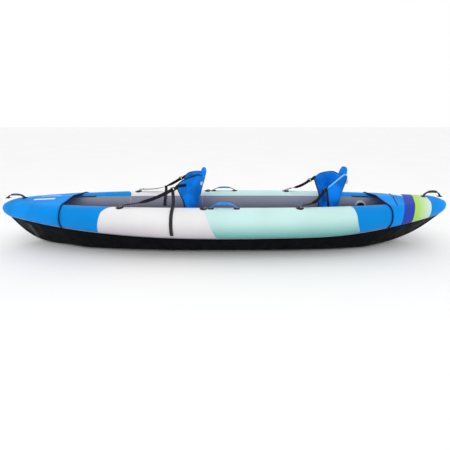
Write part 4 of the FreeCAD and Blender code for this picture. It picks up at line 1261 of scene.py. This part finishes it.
# A cap's half section, from its underside round the skirt to its top: (reach, height).
CAP_PROFILE = [
    (0.0010, 0.0168), (0.0305, 0.0168), (0.0318, 0.0155), (0.0320, 0.0048), (0.0330, 0.0045),
    (0.0346, 0.0052), (0.0350, 0.0068), (0.0350, 0.0160), (0.0346, 0.0182), (0.0330, 0.0200),
    (0.0290, 0.0205), (0.0272, 0.0200), (0.0262, 0.0184), (0.0120, 0.0182), (0.0010, 0.0182),
]
pale_plastic = Finish("pale_grey_valve_plastic", (0.55, 0.60, 0.62), 0.45)
pale_plastic.tone((0.55, 0.60, 0.62), 0.1, 60.0).grain(500.0, 2.0, 0.0001)
for label in ("port", "starboard", "floor"):
    centre, out = joint_place(f"{label}_cap_turn"), Vector(joints[f"{label}_cap_turn"]["axis"])
    level = out.cross(Vector((0, 0, 1))) if abs(out.z) < 0.9 else Vector((1, 0, 0))
    level.normalize()
    upright = out.cross(level)
    rows = []
    for reach, rise in CAP_PROFILE:
        row = []
        for k in range(144):
            turn = 2 * math.pi * k / 144
            rib = 0.0012 * (0.5 - 0.5 * math.cos(36 * turn)) if reach > 0.0345 else 0.0
            spoke = level * math.cos(turn) + upright * math.sin(turn)
            row.append(centre + out * rise + spoke * (reach - rib))
        rows.append(row)
    cap = grid(f"{label}_cap_shell", rows, [k * 0.003 for k in range(len(rows))],
               [k * 0.0015 for k in range(145)], True, True)
    dress(cap, hook_plastic, f"{label}_cap", f"{label}_valve_cap")
    bar_path = [centre + out * 0.0215 + level * (0.025 * (k / 6 - 1)) for k in range(13)]
    bar = swept(f"{label}_cap_bar", bar_path, flat_outline(0.0075, 0.0075), [upright] * 13)
    dress(bar, hook_plastic, f"{label}_cap")
    finished[f"{label}_valve_body"] = pale_plastic
    finished[f"{label}_valve_plunger"] = pale_plastic

# ---- CAD pieces kept as they are -----------------------------------------------------------------
# Rings, snap hooks, valve bodies, plungers and the end handles' feet have the CAD's own shape, and
# only take their finish. Every other CAD piece is hidden behind the one that replaces it.

for node_name, piece in frame["nodes"].items():
    piece.data.materials.clear()
    piece.data.materials.append(finished.get(node_name, black_skin).material)

# ---- Studio --------------------------------------------------------------------------------------
# A plain pale floor under soft, even light from above, and a camera level with the cockpit's middle.

ground_mesh = bpy.data.meshes.new("ground")
ground_corners = [(x, y, -0.001) for x, y in ((-30, -30), (30, -30), (30, 30), (-30, 30))]
ground_mesh.from_pydata(ground_corners, [], [(0, 1, 2, 3)])
ground = bpy.data.objects.new("ground", ground_mesh)
scene.collection.objects.link(ground)
pale = Finish("pale_floor", (0.93, 0.93, 0.93), 0.9)
pale.tone((0.93, 0.93, 0.93), 0.01, 1.0)
ground.data.materials.append(pale.material)
ground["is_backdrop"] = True

world = bpy.data.worlds.new("studio")
world.use_nodes = True
sky = world.node_tree.nodes["Background"]
sky.inputs[0].default_value = (1.0, 1.0, 1.0, 1)
sky.inputs[1].default_value = 1.0
scene.world = world
scene.view_settings.view_transform = "Standard"


def softbox(name, place, aim, wide, power):
    """A large rectangular lamp aimed at a point."""
    lamp = bpy.data.lights.new(name, "AREA")
    lamp.shape = "RECTANGLE"
    lamp.size, lamp.size_y = wide
    lamp.energy = power
    obj = bpy.data.objects.new(name, lamp)
    obj.location = place
    obj.rotation_euler = (Vector(aim) - Vector(place)).to_track_quat("-Z", "Y").to_euler()
    scene.collection.objects.link(obj)


softbox("overhead", (0.0, -1.6, 4.2), (0.0, 0.0, 0.2), (6.0, 2.0), 30)
softbox("front_fill", (-2.5, -4.5, 1.6), (0.0, 0.0, 0.3), (3.0, 2.0), 4)

VIEW_DISTANCE = 2.6027
VIEW_RISE = 19.18
AIM = Vector((0.015, 0.0, TUBE_HEIGHT))
camera = bpy.data.cameras.new("camera")
camera.lens = 21.926
camera.shift_x = -0.0013
camera.shift_y = -0.0290
eye = bpy.data.objects.new("camera", camera)
tilt = math.radians(VIEW_RISE)
eye.location = AIM + VIEW_DISTANCE * Vector((0, -math.cos(tilt), math.sin(tilt)))
eye.rotation_euler = (math.radians(90 - VIEW_RISE), 0, 0)
scene.collection.objects.link(eye)
scene.camera = eye

low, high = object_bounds()
